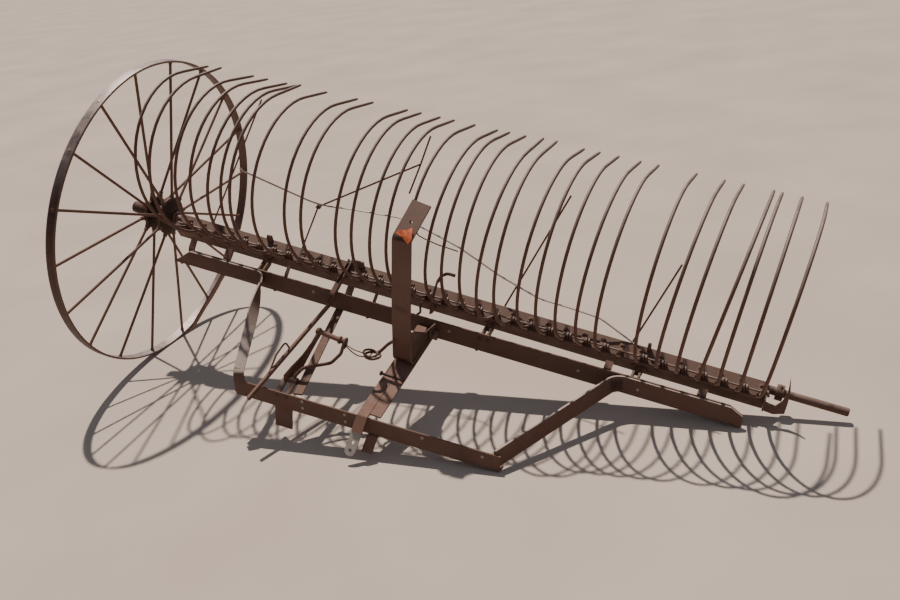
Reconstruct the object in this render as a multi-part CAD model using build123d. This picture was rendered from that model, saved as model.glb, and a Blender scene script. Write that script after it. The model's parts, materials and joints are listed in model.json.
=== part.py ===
from build123d import *
import os
from math import sin, cos, tan, asin, atan, atan2, degrees, radians, hypot, sqrt, pi

# A sulky hay rake from its iron age, parked with its teeth thrown up.
# One wheel stands, the other is gone, and the bare axle end hangs just over the ground.
# The rake is drawn level: X along the axle from the wheel to the bare end, Y to the rear, Z up,
# zero at the middle of the wheel. At the end everything is tipped to its real stand.

# Stand on the ground, degrees; the tilt of the axle follows from the wheel and the beam's grounded corner
nosePitch = 3.5
tiltSteps = 12

# Wheel
wheelRadius = 711.0
treadWidth = 44.0
rimThickness = 10.0
spokeCount = 18
spokeDiameter = 13.0
spokeTurn = 7.0
spokeGap = 0.1
hubReach = 90.0
hubDisc = (50.0, 62.0)
hubLugs = (-38.0, -22.0)
lugRoot = 76.0
lugWidth = 26.0
hubBarrelRadius = 40.0
hubBarrelStart = -60.0
hubOuterEnd = -138.0
hubInnerEnd = 84.0
hubNoseRadius = 27.0
hubSides = 12
ratchetRadius = 58.0
ratchetWidth = 16.0
ratchetTeeth = 12
wheelLean = 2.7

# Axle, with the wheel's arm set a little off its line
axleDiameter = 34.0
armDiameter = 32.0
armClearance = 0.08
armEnd = -150.0
axleStart = 92.0
bareReach = 308.0
shoulderDiameter = 56.0
shoulderWidth = 14.0
endPlay = 0.5
washerDiameter = 52.0
washerThickness = 5.0
collarDiameter = 62.0
collarWidth = 28.0
collarBeyond = 62.0

# Rake head: an angle iron with its corner turned forward and the axle in its upper leg
headLeg = 76.0
headThickness = 7.0
headTurn = 37.0
axleUp = 59.7
headStart = 128.0
headBeyond = 17.0
clipPlaces = (300.0, 900.0, 1500.0, 2100.0, 2640.0)
clipWidth = 44.0
clipWall = 7.0
clipFoot = 24.0

# Teeth, round spring steel on a three inch pitch, counted from the bare end
toothPitch = 76.25
firstTooth = 2789.0
lastToothRoom = 60.0
toothDiameter = 11.0
missingTeeth = (7, 23, 26)
leverSlot = 23
toothFront = (-320.0, 335.0)
toothTopRadius = 350.0
toothTopTurn = 92.0
toothTipRun = 175.0
toothLowRuns = 5
toothTopRuns = 5

# How single teeth are bent, degrees: slot from the bare end, lean along the axle, nod to the front
toothBends = (
    (0, 3.0, 0.0), (1, 2.0, 0.0), (2, 2.5, 0.0), (3, 6.5, 4.0), (4, 3.5, 0.0), (5, 4.0, 0.0), (6, 1.5, 0.0),
    (8, 2.0, 0.0), (9, 2.5, 0.0), (10, 1.5, 0.0), (11, 1.5, 0.0), (12, 2.5, 0.0), (13, 1.0, 6.0), (14, 3.0, 7.0),
    (15, 1.0, 0.0), (16, 1.5, 0.0), (17, 3.5, 0.0), (18, 1.5, 0.0), (20, 1.0, 0.0), (22, 1.0, 0.0), (28, -1.0, 6.0),
    (30, 2.0, 0.0), (33, -3.0, 7.0), (34, -6.5, 2.0))

# Tooth holders, cast, on the upper leg and hooked over the corner
holderWidth = 22.0
holderStrap = 6.0
holderHook = 20.0
holderReach = 60.0
holderBoss = 24.0
bossHeight = 17.0
toothGrip = 13.0
toothFit = 0.1
toothUp = 28.4

# Rod behind the tooth bosses, in lengths from boss to boss
rodDiameter = 9.5
rodUp = 45.0
rodOut = 11.0
rodEnds = (144.0, 2800.0)

# Front beam of the frame, an angle iron
beamLeg = 76.0
beamFoot = 50.0
beamThickness = 8.0
beamStart = 175.0
beamEnd = 2750.0
beamFront = -124.0
beamRise = 0.7
beamEndTop = -46.4
leftSlant = 95.0
rightClip = (48.0, 24.0)

# Side members, flat bars on edge, bolted along the beam and bent forward
memberHeight = 66.0
memberThickness = 9.0
memberBendRadius = 60.0
memberDrop = 3.0
memberRise = 12.0
rightBend = 2270.0
leftBend = 632.0
rightCorner = 1985.0
leftCorner = 900.0
rightLapEnd = 2750.0
leftLapEnd = 180.0

# Front crossbar, an angle iron
crossbarFront = -618.0
crossbarLeg = 64.0
crossbarFoot = 45.0
crossbarThickness = 7.0
crossbarLeftTop = -312.0
crossbarOver = 22.0

# Tongue, two flat bars side by side from the beam; the left one goes on over the crossbar and bends down
tonguePlace = 1452.0
tongueRightPlace = 1498.0
tongueWidth = 44.0
tongueThickness = 8.0
tongueDrop = 30.0
tongueLug = 48.0
tongueLip = (-36.0, -52.0)
tongueRightEnd = -606.0
strapWidth = 43.0
strapThickness = 7.0
strapLap = 45.0
greyStrapReach = 92.0
rustStrap = (28.0, -6.0, -50.0, -48.0)
strapHole = 14.0
strapHolePitch = 30.0

# Seat spring, a flat leaf that rises from the tongue: places along the axle, then to the rear and up
springPlace = 1475.0
springWidth = 79.0
springThickness = 9.0
springFoot = (-235.0, -352.0)
springKnee = (1471.0, -408.0, 95.0)
springTop = (1453.0, -424.0, 380.0)
springEnd = (1472.0, -318.0, 495.0)
springBends = (34.0, 300.0, 26.0)
seatHole = 13.0
seatHoleInset = 85.0

# Hinge between frame and head
hingeY = -62.0
hingeZ = -56.5
hingePin = 14.0
pinClearance = 0.1
pinHead = 3.0
eyeDiameter = 28.0
earThickness = 14.0
cheekThickness = 8.0
earGap = 1.0
hingePlaces = (640.0, 1715.0, 2335.0)
padWidth = 60.0
padHeight = 30.0
padThickness = 7.0
padDrop = 3.0
earPadPlace = 36.0
eyeSides = 8

# Links and lugs between beam and head: place along the axle and width
beamLinks = ((267.0, 30.0), (460.0, 35.0), (772.0, 14.0), (1086.0, 30.0), (1210.0, 12.0), (2228.0, 30.0), (2590.0, 34.0))
linkTip = (-87.0, -33.0)
headLugs = ((620.0, 20.0, 27.0), (1076.0, 40.0, 24.0), (2353.0, 12.0, 32.0))

# Hand lever on the head, over the beam and the crossbar
leverOut = 13.0
leverUp = (78.0, -100.0)
leverBarGap = 10.0
leverBarThickness = 6.0
leverBarHeight = 20.0
leverHeight = 26.0
leverDrop = (-162.0, -104.0)
leverEnd = (-36.0, -700.0, -318.0)
leverFoot = (8.0, 66.0)

# Small controls and hangers on the frame
braceEnds = ((1043.0, -96.0, -147.9), (1158.0, -604.0, -290.0))
braceWidth = 34.0
braceThickness = 8.0
tripPlace = 1096.0
hangingStrap = ((470.0, 0.0), (434.0, 0.0), (239.0, -350.0))
hangingStrapWidth = 34.0

level = Plane.YZ
pitch = radians(nosePitch)
lean = radians(wheelLean)
turn = radians(headTurn)
rise = radians(beamRise)
upLeg = Vector(0, cos(turn), sin(turn))
downLeg = Vector(0, sin(turn), -cos(turn))
axleInset = headThickness + axleDiameter / 2
corner = upLeg * -axleUp - downLeg * axleInset
holderFace = corner + upLeg * toothUp - downLeg * (holderStrap + bossHeight)
toothRoot = (holderFace.Y, holderFace.Z)
headEnd = firstTooth + headBeyond
collarPlace = firstTooth + collarBeyond
axleEnd = firstTooth + bareReach
toothSlots = int((firstTooth - headStart - lastToothRoom) / toothPitch) + 1


def outlineOf(points):
    """Closed straight-sided outline in a plane's own two directions."""
    return make_face(Polyline(points, close=True))


def alongAxle(outline, start, length):
    """Push an outline drawn in Y and Z along the axle."""
    return Pos(start, 0, 0) * extrude(level * outline, length)


def onHead(up, out):
    """Point in Y and Z: up the head's upper leg from its corner, and out from its face."""
    point = corner + upLeg * up - downLeg * out
    return (point.Y, point.Z)


def rod(start, end, diameter):
    """Straight round bar between two points."""
    a = Vector(*start)
    b = Vector(*end)
    return extrude(Plane(a, z_dir=b - a) * Circle(diameter / 2), (b - a).length)


def sixSided(start, end, diameter):
    """Straight six-sided bar between two points, not along the axle."""
    a = Vector(*start)
    b = Vector(*end)
    return extrude(Plane(a, x_dir=(1, 0, 0), z_dir=b - a) * RegularPolygon(diameter / 2, 6), (b - a).length)


def bentRod(points, diameter):
    """Thin six-sided rod through points, with sharp bends."""
    path = Polyline(*points)
    return sweep(Plane(path @ 0, z_dir=path % 0) * RegularPolygon(diameter / 2, 6), path=path,
                 transition=Transition.RIGHT)


def axleRing(outer, inner, start, width):
    """Ring about the axle line."""
    ring = Cylinder(outer / 2, width) - Cylinder(inner / 2, width + 2)
    return Pos(start + width / 2, 0, 0) * Rot(0, 90, 0) * ring


def flatSided(reach, sides, start, width):
    """Block about the axle line with its flats at a set distance, one of them square to the first spoke."""
    turned = 90 + spokeTurn - 180 / sides
    return alongAxle(RegularPolygon(reach, sides, major_radius=False, rotation=turned), start, width)


def bentBar(points, width, thickness, radius):
    """Flat bar on a line drawn in Y and Z, its width along the axle."""
    return bentBar3([(0, y, z) for y, z in points], width, thickness, radius)


def bentBar3(points, width, thickness, radius):
    """Flat bar on a line through points, its width along the axle."""
    path = FilletPolyline(*points, radius=radius)
    start = Plane(path @ 0, x_dir=(1, 0, 0), z_dir=path % 0)
    return sweep(start * Rectangle(width, thickness), path=path)


def angleOutline(leg, foot, thickness):
    """Angle iron with a flat front and its foot turned to the rear; zero is its top front edge."""
    return outlineOf([(0, 0), (thickness, 0), (thickness, thickness - leg), (foot, thickness - leg),
                      (foot, -leg), (0, -leg)])


# Stand: the wheel's lower edge and the beam's lower rear corner touch the ground


def wheelHeightAt(tilt):
    """Height of the wheel's middle over the ground for a tilt of the axle."""
    drop = -cos(lean) * sin(tilt) - sin(lean) * sin(pitch) * cos(tilt)
    return wheelRadius * sqrt(1 - drop ** 2) + treadWidth / 2 * abs(drop)


def tiltOfAxle():
    groundedX = beamEnd + beamLeg * sin(rise)
    groundedZ = (beamEndTop - beamLeg * cos(rise)) * cos(pitch) - (beamFront + beamFoot) * sin(pitch)
    tilt = 0.2
    for step in range(tiltSteps):
        tilt = asin(wheelHeightAt(tilt) / hypot(groundedX, groundedZ)) - atan2(-groundedZ, groundedX)
    return tilt


tilt = tiltOfAxle()
axleTilt = degrees(tilt)
wheelHeight = wheelHeightAt(tilt)


def groundZ(x, y):
    """Z, in the level frame, of the ground under a point of the rake."""
    floor = (x * sin(tilt) - wheelHeight) / cos(tilt)
    return (floor + y * sin(pitch)) / cos(pitch)


crossbarStart = leftCorner - crossbarOver
crossbarEnd = rightCorner + crossbarOver
crossbarRear = crossbarFront + crossbarFoot
roughSlope = (groundZ(crossbarEnd, crossbarRear) + crossbarLeg - crossbarLeftTop) / (crossbarEnd - crossbarStart)
crossbarRightTop = groundZ(crossbarEnd + crossbarLeg * roughSlope, crossbarRear) + crossbarLeg
crossbarSlope = (crossbarRightTop - crossbarLeftTop) / (crossbarEnd - crossbarStart)
crossbarRise = degrees(atan(crossbarSlope))


def beamTop(x):
    return beamEndTop - (beamEnd - x) * tan(rise)


def crossbarTop(x):
    return crossbarLeftTop + (x - crossbarStart) * crossbarSlope


def onBeam(x):
    """Place with the beam's slope at its top front edge."""
    return Pos(x, beamFront, beamTop(x)) * Rot(0, -beamRise, 0)


def onCrossbar(x):
    """Place with the crossbar's slope at its top front edge."""
    return Pos(x, crossbarFront, crossbarTop(x)) * Rot(0, -crossbarRise, 0)


# Wheel


def wheelRim():
    return axleRing(2 * wheelRadius, 2 * (wheelRadius - rimThickness), -treadWidth / 2, treadWidth)


def lugRing():
    """Outer flange of the hub with a lug for every second spoke."""
    points = []
    for lug in range(spokeCount // 2):
        angle = radians(90 + spokeTurn) + 4 * pi / spokeCount * lug
        for out, along in ((lugRoot, -lugWidth * 0.8), (hubReach, -lugWidth / 2), (hubReach, lugWidth / 2),
                           (lugRoot, lugWidth * 0.8)):
            points.append((out * cos(angle) - along * sin(angle), out * sin(angle) + along * cos(angle)))
    return alongAxle(outlineOf(points), hubLugs[0], hubLugs[1] - hubLugs[0])


def wheelHub():
    """Cast hub: nose, flange with lugs, barrel and a plain disc, bored for the arm."""
    hub = flatSided(hubNoseRadius, hubSides, hubOuterEnd, hubBarrelStart - hubOuterEnd)
    hub += flatSided(hubBarrelRadius, hubSides, hubBarrelStart, hubInnerEnd - hubBarrelStart)
    hub += lugRing() + flatSided(hubReach, spokeCount, hubDisc[0], hubDisc[1] - hubDisc[0])
    return hub - axleRing(armDiameter + 2 * armClearance, 0, hubOuterEnd - 1, hubInnerEnd - hubOuterEnd + 2)


def wheelRatchet():
    """Ratchet on the barrel, against the plain disc."""
    root = ratchetRadius * 0.84
    step = 2 * pi / ratchetTeeth
    points = []
    for tooth in range(ratchetTeeth):
        angle = step * tooth
        points.append((root * cos(angle), root * sin(angle)))
        points.append((ratchetRadius * cos(angle + step * 0.08), ratchetRadius * sin(angle + step * 0.08)))
    ring = alongAxle(outlineOf(points), hubDisc[1], ratchetWidth)
    return ring - flatSided(hubBarrelRadius, hubSides, hubDisc[1] - 1, ratchetWidth + 2)


def wheelSpokes():
    """Spokes from lugs and disc in turn to the rim."""
    length = wheelRadius - rimThickness - hubReach - 2 * spokeGap
    trim = Pos(0, 0, hubReach + spokeGap + length / 2) * Box(4 * hubReach, 2 * spokeDiameter, length)
    spokes = []
    for number in range(spokeCount):
        side = sum(hubDisc) / 2 if number % 2 else sum(hubLugs) / 2
        spoke = sixSided((side, 0, hubReach - 1), (0, 0, wheelRadius), spokeDiameter) & trim
        spokes.append(Rot(spokeTurn + 360 / spokeCount * number, 0, 0) * spoke)
    return spokes


# Head: axle, angle iron, holders and teeth


def axle():
    """The through bar with its bare arm, a shoulder and the arm for the wheel, which leans a little."""
    bareArm = collarPlace + collarWidth / 2
    bar = axleRing(axleDiameter, 0, axleStart, bareArm - axleStart)
    bar += axleRing(armDiameter, 0, bareArm - 1, axleEnd - bareArm + 1)
    shoulderStart = hubInnerEnd + endPlay
    shoulder = Rot(0, 0, wheelLean) * flatSided(shoulderDiameter / 2, hubSides, shoulderStart, shoulderWidth)
    arm = Rot(0, 0, wheelLean) * axleRing(armDiameter, 0, armEnd, shoulderStart - armEnd + 1)
    return bar + shoulder + arm


def armWasher():
    start = hubOuterEnd - endPlay - washerThickness
    washer = flatSided(washerDiameter / 2, hubSides, start, washerThickness)
    return Rot(0, 0, wheelLean) * (washer - flatSided(armDiameter / 2, hubSides, start - 1, washerThickness + 2))


def axleCollar():
    start = collarPlace - collarWidth / 2
    collar = flatSided(collarDiameter / 2, hubSides, start, collarWidth)
    return collar - flatSided(axleDiameter / 2, hubSides, start - 1, collarWidth + 2)


def headAngle():
    wall = headThickness
    points = [corner, corner + upLeg * headLeg, corner + upLeg * headLeg + downLeg * wall,
              corner + upLeg * wall + downLeg * wall, corner + downLeg * headLeg + upLeg * wall,
              corner + downLeg * headLeg]
    return alongAxle(outlineOf([(p.Y, p.Z) for p in points]), headStart, headEnd - headStart)


def axleClip():
    """Hook over the axle with a foot on the inside of the upper leg."""
    inner = axleDiameter / 2
    outer = inner + clipWall
    hook = RegularPolygon(outer, 8, major_radius=False, rotation=22.5)
    hook -= RegularPolygon(inner, 8, major_radius=False, rotation=22.5)
    hook -= Pos(outer, -outer) * Rectangle(2 * outer, outer)
    hook -= Pos(0, -outer) * Rectangle(3 * outer, 2 * outer - 0.01)
    shank = Pos(-inner - clipWall / 2, -inner / 2) * Rectangle(clipWall, inner)
    foot = Pos(-inner - clipFoot / 2, clipWall / 2 - inner) * Rectangle(clipFoot, clipWall)
    side = Plane((clipWidth / 2, 0, 0), x_dir=upLeg, z_dir=(-1, 0, 0))
    return extrude(side * (hook + shank + foot), clipWidth)


lowerRadius = (((toothRoot[0] - toothFront[0]) ** 2 + (toothRoot[1] - toothFront[1]) ** 2)
               / (2 * (toothRoot[0] - toothFront[0])))
rootAngle = atan2(toothRoot[1] - toothFront[1], toothRoot[0] - toothFront[0] - lowerRadius) % (2 * pi)
rootRun = Vector(0, sin(rootAngle), -cos(rootAngle))


def onArc(radius, angle):
    """Point on an arc that meets the foremost point of the tooth line."""
    return (0, toothFront[0] + radius + radius * cos(angle), toothFront[1] + radius * sin(angle))


def tooth(leaning, nod):
    """Bar from its boss, forward and up on one arc and back over the top on another, in short straight runs."""
    lowStep = (pi - rootAngle) / toothLowRuns
    topStep = radians(-toothTopTurn) / toothTopRuns
    low = [Vector(onArc(lowerRadius, rootAngle + lowStep * run)) for run in range(toothLowRuns)]
    top = [Vector(onArc(toothTopRadius, pi + topStep * run)) for run in range(toothTopRuns + 1)]
    tip = top[-1] + (top[-1] - top[-2]).normalized() * toothTipRun
    bent = Pos(0, *toothRoot) * Rot(nod, 0, 0) * Rot(0, leaning, 0) * Pos(0, -toothRoot[0], -toothRoot[1])
    line = [(bent * Pos(*point)).position for point in (*low, *top, tip)]
    path = Polyline(low[0] - rootRun * toothGrip, *line)
    start = Plane(path @ 0, x_dir=(1, 0, 0), z_dir=path % 0)
    return sweep(start * RegularPolygon(toothDiameter / 2, 6), path=path, transition=Transition.RIGHT)


def toothHolder():
    """Casting hooked over the corner, with a boss bored for the tooth."""
    out = downLeg * -holderStrap
    front = upLeg * -holderStrap
    points = [corner + upLeg * holderReach, corner, corner + downLeg * holderHook,
              corner + downLeg * holderHook + front, corner + front + out, corner + upLeg * holderReach + out]
    strap = alongAxle(outlineOf([(p.Y, p.Z) for p in points]), -holderWidth / 2, holderWidth)
    root = Vector(0, *toothRoot)
    boss = sixSided(root - rootRun * 2 * bossHeight, root, holderBoss)
    boss = split(boss, bisect_by=Plane(corner + out * 0.5, z_dir=out), keep=Keep.TOP)
    bore = sixSided(root - rootRun * toothGrip, root + rootRun, toothDiameter + 2 * toothFit)
    return strap + boss - bore


def slotPlaces():
    return [firstTooth - toothPitch * slot for slot in range(toothSlots)]


def place(solids, x):
    return Pos(x, 0, 0) * solids


def rakeTeeth():
    bends = {slot: (leaning, nod) for slot, leaning, nod in toothBends}
    return [place(tooth(*bends.get(slot, (0, 0))), x) for slot, x in enumerate(slotPlaces())
            if slot not in missingTeeth]


def toothRod():
    """Six-sided rod lengths between the bosses."""
    half = holderBoss / 2 + toothFit
    bosses = [x for slot, x in enumerate(slotPlaces()) if slot != leverSlot]
    stops = [rodEnds[1], *[x + side * half for x in bosses for side in (1, -1)], rodEnds[0]]
    outline = Pos(*onHead(rodUp, rodOut)) * RegularPolygon(rodDiameter / 2, 6)
    lengths = []
    for right, left in zip(stops[::2], stops[1::2]):
        inBracket = left < slotPlaces()[leverSlot] < right
        if right > left and not inBracket:
            lengths.append(alongAxle(outline, left, right - left))
    return lengths


def headLug(x, width, height):
    """Rounded lug on the upper leg's face, standing over its top edge."""
    points = [onHead(up, out) for up, out in ((56, 0), (headLeg, 0), (headLeg + 6, height), (headLeg - 4, height + 9),
                                              (headLeg - 14, height), (58, 12))]
    return alongAxle(outlineOf(points), x - width / 2, width)


def endHorn():
    """Plate on the head's right end with a horn that curves up."""
    plate = outlineOf([(-84, -52), (-84, -4), (-66, 8), (-48, -8), (-40, -40), (-60, -58)])
    wall = 6.0
    horn = outlineOf([(0, -12), (41, -18), (60, 9), (70, 47), (64, 112), (76, 60), (80, 10), (79, -37), (40, -52),
                      (0, -48)])
    side = Plane((headEnd, -76, 0), x_dir=(1, 0, 0), z_dir=(0, -1, 0))
    return alongAxle(plate, headEnd, wall) + extrude(side * horn, 8)


def handLever():
    """Two bars over the head and the beam, and between them the long lever over the crossbar."""
    x = slotPlaces()[leverSlot] - leverBarGap / 2
    half = (leverBarGap + leverBarThickness) / 2
    line = [onHead(up, leverOut) for up in leverUp] + [leverDrop]
    bars = [place(bentBar(line, leverBarThickness, leverBarHeight, 24), x + side * half) for side in (-1, 1)]
    near = onHead(leverUp[1] / 2, leverOut)
    turned = onHead(leverUp[1], leverOut)
    runs = [(x, *near), (x, *turned), (x, *leverDrop), (x + leverEnd[0], *leverEnd[1:])]
    lever = bentBar3(runs, leverBarGap, leverHeight - 6, 18)
    inner = onHead(leverUp[0] - 18, leverOut)
    spacer = place(rod((-half, *inner), (half, *inner), leverBarHeight - 4), x)
    return bars[0] + bars[1] + lever + spacer


def leverFootBlock():
    """Casting under the lever's bars, on the upper leg and over its corner."""
    x = slotPlaces()[leverSlot] - leverBarGap / 2
    half = leverBarGap / 2 + leverBarThickness
    low = leverOut - leverBarHeight / 2
    points = [onHead(up, out) for up, out in ((leverFoot[0], 0), (leverFoot[1], 0), (leverFoot[1], low),
                                              (leverFoot[0], low))]
    return alongAxle(outlineOf(points), x - half, 2 * half)


def leverBail():
    """Wire bail along the lever's left side."""
    x = slotPlaces()[leverSlot] - leverBarGap - 31
    return bentRod([(x + 0.6, -552, -250), (x + 2.6, -520, -206), (x + 6.4, -462, -172), (x + 8, -440, -206)], 8)


def armHook():
    """Plate on the head's corner that reaches over the beam, with a hoop at its top."""
    plate = outlineOf([(-114, -46), (-90, -50), (-48.9, -34.4), (-59.7, -20), (-84, -8), (-92, 26), (-72, 76),
                       (-60, 92), (-66, 100), (-82, 82), (-103, 28)])
    hoop = bentRod([(1468, -66, 90), (1479, -62, 112), (1500, -52, 123), (1530, -38, 118)], 10)
    return alongAxle(plate, 1464, 8) + hoop


def looseRods():
    """Thin bent rods that stand among the teeth."""
    top = onHead(headLeg + 3.5, -3.5)
    runs = [((778, *top), (847, 4, 239), (1290, 4, 520)), ((1270, 4, 400), (1338, 4, 655)),
            ((1746, *top), (1940, 4, 551)), ((2282, *top), (2399, 4, 392)), ((300, *top), (544, 4, 645))]
    return [bentRod(points, 8) for points in runs]


# Frame: beam, side members, crossbar and tongue


def frontBeam():
    length = (beamEnd - beamStart) / cos(rise)
    bar = onBeam(beamStart) * alongAxle(angleOutline(beamLeg, beamFoot, beamThickness), 0, length)
    return slantLeft(clipRight(bar))


def slantLeft(bar):
    """Cut the left end so that its lower corner runs out to the left."""
    low = Vector(beamStart, 0, beamTop(beamStart) - beamLeg)
    high = Vector(beamStart + leftSlant, 0, beamTop(beamStart) - memberDrop)
    run = (high - low).normalized()
    return split(bar, bisect_by=Plane(low, z_dir=(run.Z, 0, -run.X)), keep=Keep.TOP)


def clipRight(bar):
    """Cut off the top corner of the right end."""
    high = Vector(beamEnd - rightClip[0], 0, beamTop(beamEnd) - memberDrop)
    run = Vector(rightClip[0], 0, -rightClip[1]).normalized()
    return split(bar, bisect_by=Plane(high, z_dir=(run.Z, 0, -run.X)), keep=Keep.TOP)


def frontCrossbar():
    length = (crossbarEnd - crossbarStart) / cos(radians(crossbarRise))
    return onCrossbar(crossbarStart) * alongAxle(angleOutline(crossbarLeg, crossbarFoot, crossbarThickness), 0, length)


def sideMember(lapEnd, bend, cornerX):
    """Flat bar on edge along the beam's front, bent forward and down to the crossbar's rear."""
    half = memberHeight / 2
    line = beamFront - memberThickness / 2
    a = Vector(lapEnd, line, beamTop(lapEnd) - memberDrop - half)
    b = Vector(bend, line, beamTop(bend) - memberDrop - half)
    c = Vector(cornerX, crossbarFront, crossbarTop(cornerX) + memberRise - half)
    path = FilletPolyline(a, b, c, radius=memberBendRadius)
    start = Plane(a, x_dir=(0, 1, 0), z_dir=(b - a).normalized())
    bar = sweep(start * Rectangle(memberThickness, memberHeight), path=path)
    rear = Plane((0, crossbarFront + crossbarThickness, 0), z_dir=(0, 1, 0))
    return split(bar, bisect_by=rear, keep=Keep.TOP)


tongueStart = (beamFront - tongueThickness / 2, beamTop(tonguePlace) - tongueDrop - tongueThickness / 2)
tongueOver = (crossbarFront - 6, crossbarTop(tonguePlace) + tongueThickness / 2 + 3)
tongueRun = Vector(0, tongueOver[0] - tongueStart[0], tongueOver[1] - tongueStart[1]).normalized()
tongueTilt = tongueRun.Z / tongueRun.Y
lipEnd = (tongueOver[0] + tongueLip[0], tongueOver[1] + tongueLip[1])
lipRun = Vector(0, *tongueLip).normalized()


def onTongue(y, lift):
    """Point in Y and Z at a height above the middle of the tongue bars."""
    return (y + lift * tongueRun.Z, tongueStart[1] + (y - tongueStart[0]) * tongueTilt - lift * tongueRun.Y)


def tongueLeft():
    points = [(tongueStart[0], tongueStart[1] - tongueLug), tongueStart, tongueOver, lipEnd]
    return place(bentBar(points, tongueWidth, tongueThickness, 10), tonguePlace)


def tongueRight():
    points = [(tongueStart[0], tongueStart[1] - tongueLug), tongueStart, onTongue(tongueRightEnd, 0)]
    return place(bentBar(points, tongueWidth, tongueThickness, 10), tongueRightPlace)


def greyStrapLine(reach):
    """Point on the middle of the grey strap, measured from the end of the lip."""
    under = (tongueThickness + strapThickness) / 2
    return Vector(tonguePlace - 3, *lipEnd) + lipRun * reach + Vector(0, -lipRun.Z, lipRun.Y) * under


def strapHoleAt(number):
    return greyStrapLine(greyStrapReach - strapWidth / 2 - number * strapHolePitch)


strapAcross = Vector(0, -lipRun.Z, lipRun.Y)


def tongueStrapGrey():
    """Strap under the lip with a round end and two holes."""
    start = Plane(greyStrapLine(0), x_dir=lipRun, z_dir=strapAcross).offset(-strapThickness / 2)
    straight = greyStrapReach - strapWidth / 2
    outline = Pos((straight - strapLap) / 2, 0) * Rectangle(straight + strapLap, strapWidth)
    outline += Pos(straight, 0) * RegularPolygon(strapWidth / 2, 10, major_radius=False, rotation=18)
    for hole in range(2):
        outline -= Pos(straight - hole * strapHolePitch, 0) * Circle(strapHole / 2)
    return extrude(start * outline, strapThickness)


def tongueStrapRust():
    """Strap under the crossbar's foot, bent down in front of it."""
    rear, front, drop, down = rustStrap
    points = [(rear, -crossbarLeg), (front, -crossbarLeg), (drop, down - crossbarLeg)]
    lowered = [(y, z - strapThickness / 2) for y, z in points]
    return onCrossbar(tongueRightPlace) * bentBar(lowered, strapWidth, strapThickness, 10)


def seatSpring():
    lift = (tongueThickness + springThickness) / 2
    foot = [(springPlace, *onTongue(y, lift)) for y in springFoot]
    leaf = bentBar3([*foot, springKnee, springTop, springEnd], springWidth, springThickness, springBends)
    half = seatAxis * 2 * springThickness
    return leaf - rod(seatHoleAt - half, seatHoleAt + half, seatHole)


seatRun = (Vector(*springEnd) - Vector(*springTop)).normalized()
seatAxis = Vector(0, -seatRun.Z, seatRun.Y).normalized()
seatHoleAt = Vector(*springEnd) - seatRun * seatHoleInset


# Links, lever's brace, foot trip and hangers on the frame


def beamLink(x, width):
    """Flat link from the beam's inner face to just short of the head."""
    inner = beamFront + beamThickness
    top = beamTop(x)
    points = [(inner, top - 40), (inner + 8, top - 40), (inner + 8, top + 1), linkTip, (linkTip[0] - 5, linkTip[1] + 6),
              (inner, top + 6)]
    return alongAxle(outlineOf(points), x - width / 2, width)


def leverBrace():
    """Flat bar from under the beam to the crossbar's rear."""
    a, b = braceEnds
    start = Plane(Vector(*a), x_dir=(1, 0, 0), z_dir=Vector(*b) - Vector(*a))
    return extrude(start * Rectangle(braceWidth, braceThickness), (Vector(*b) - Vector(*a)).length)


def footTrip():
    """Foot trip: two feet on the crossbar, a drum, two arms and a rung between them."""
    back = crossbarThickness
    feet = []
    for x, width in ((-28, 24), (15, 22)):
        points = [(back + 4, -34), (back + 4, -6), (58, 26)]
        feet.append(place(bentBar(points, width, 8, 6), x))
    drum = Pos(-18, 66, 28) * Rot(0, 90, 0) * extrude(RegularPolygon(14, 8), 44)
    mount = onCrossbar(tripPlace) * (feet[0] + feet[1] + drum)
    left = bentRod([(1078, -556, -268), (1071, -530, -250), (1109, -470, -206), (1128, -430, -158), (1126, -398, -112)], 20)
    right = bentRod([(1112, -556, -266), (1107, -550, -251), (1129, -530, -217), (1156, -500, -213), (1214, -460, -199),
                     (1239, -430, -163), (1228, -398, -122)], 13)
    rung = bentRod([(1120, -400, -113), (1236, -400, -123)], 15)
    return mount + left + right + rung


def eyeRod():
    """Rod from the seat spring's edge to a flat ring."""
    ring = extrude(Pos(1380, -440, -122) * (RegularPolygon(33, 10) - RegularPolygon(23, 10)), 9)
    return ring + bentRod([(1405, -432, -118), (1434, -388, -58)], 10)


def crossbarLegPiece():
    """Angle piece under the crossbar's foot."""
    leg = Pos(0, 10, -crossbarLeg - 46) * Box(76, 8, 92) + Pos(-34, 26, -crossbarLeg - 46) * Box(8, 40, 92)
    return onCrossbar(1095) * leg


def hangingStrapPiece():
    """Flat strap under the beam's foot that hangs down to the left."""
    top = -beamLeg - 3.6
    points = [(x - hangingStrap[0][0], 28, top + z) for x, z in hangingStrap]
    path = FilletPolyline(*points, radius=12)
    start = Plane(path @ 0, x_dir=(0, 1, 0), z_dir=path % 0)
    return onBeam(hangingStrap[0][0]) * sweep(start * Rectangle(hangingStrapWidth, 7), path=path)


# Hinge between frame and head


def hingeEye():
    return Pos(hingeY, hingeZ) * RegularPolygon(eyeDiameter / 2, eyeSides)


def pinHole():
    return Pos(hingeY, hingeZ) * Circle(hingePin / 2 + pinClearance)


def frameBracket(x):
    """Pad on the beam's inner face with two cheeks for the pin."""
    face = beamFront + beamThickness
    top = beamTop(x) - padDrop
    pad = Pos(face + padThickness / 2, top - padHeight / 2) * Rectangle(padThickness, padHeight)
    cheek = make_hull(hingeEye().edges() + pad.edges()) - pinHole()
    inner = earThickness / 2 + earGap
    left = alongAxle(cheek, -inner - cheekThickness, cheekThickness)
    right = alongAxle(cheek, inner, cheekThickness)
    return place(alongAxle(pad, -padWidth / 2, padWidth) + left + right, x)


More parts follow.
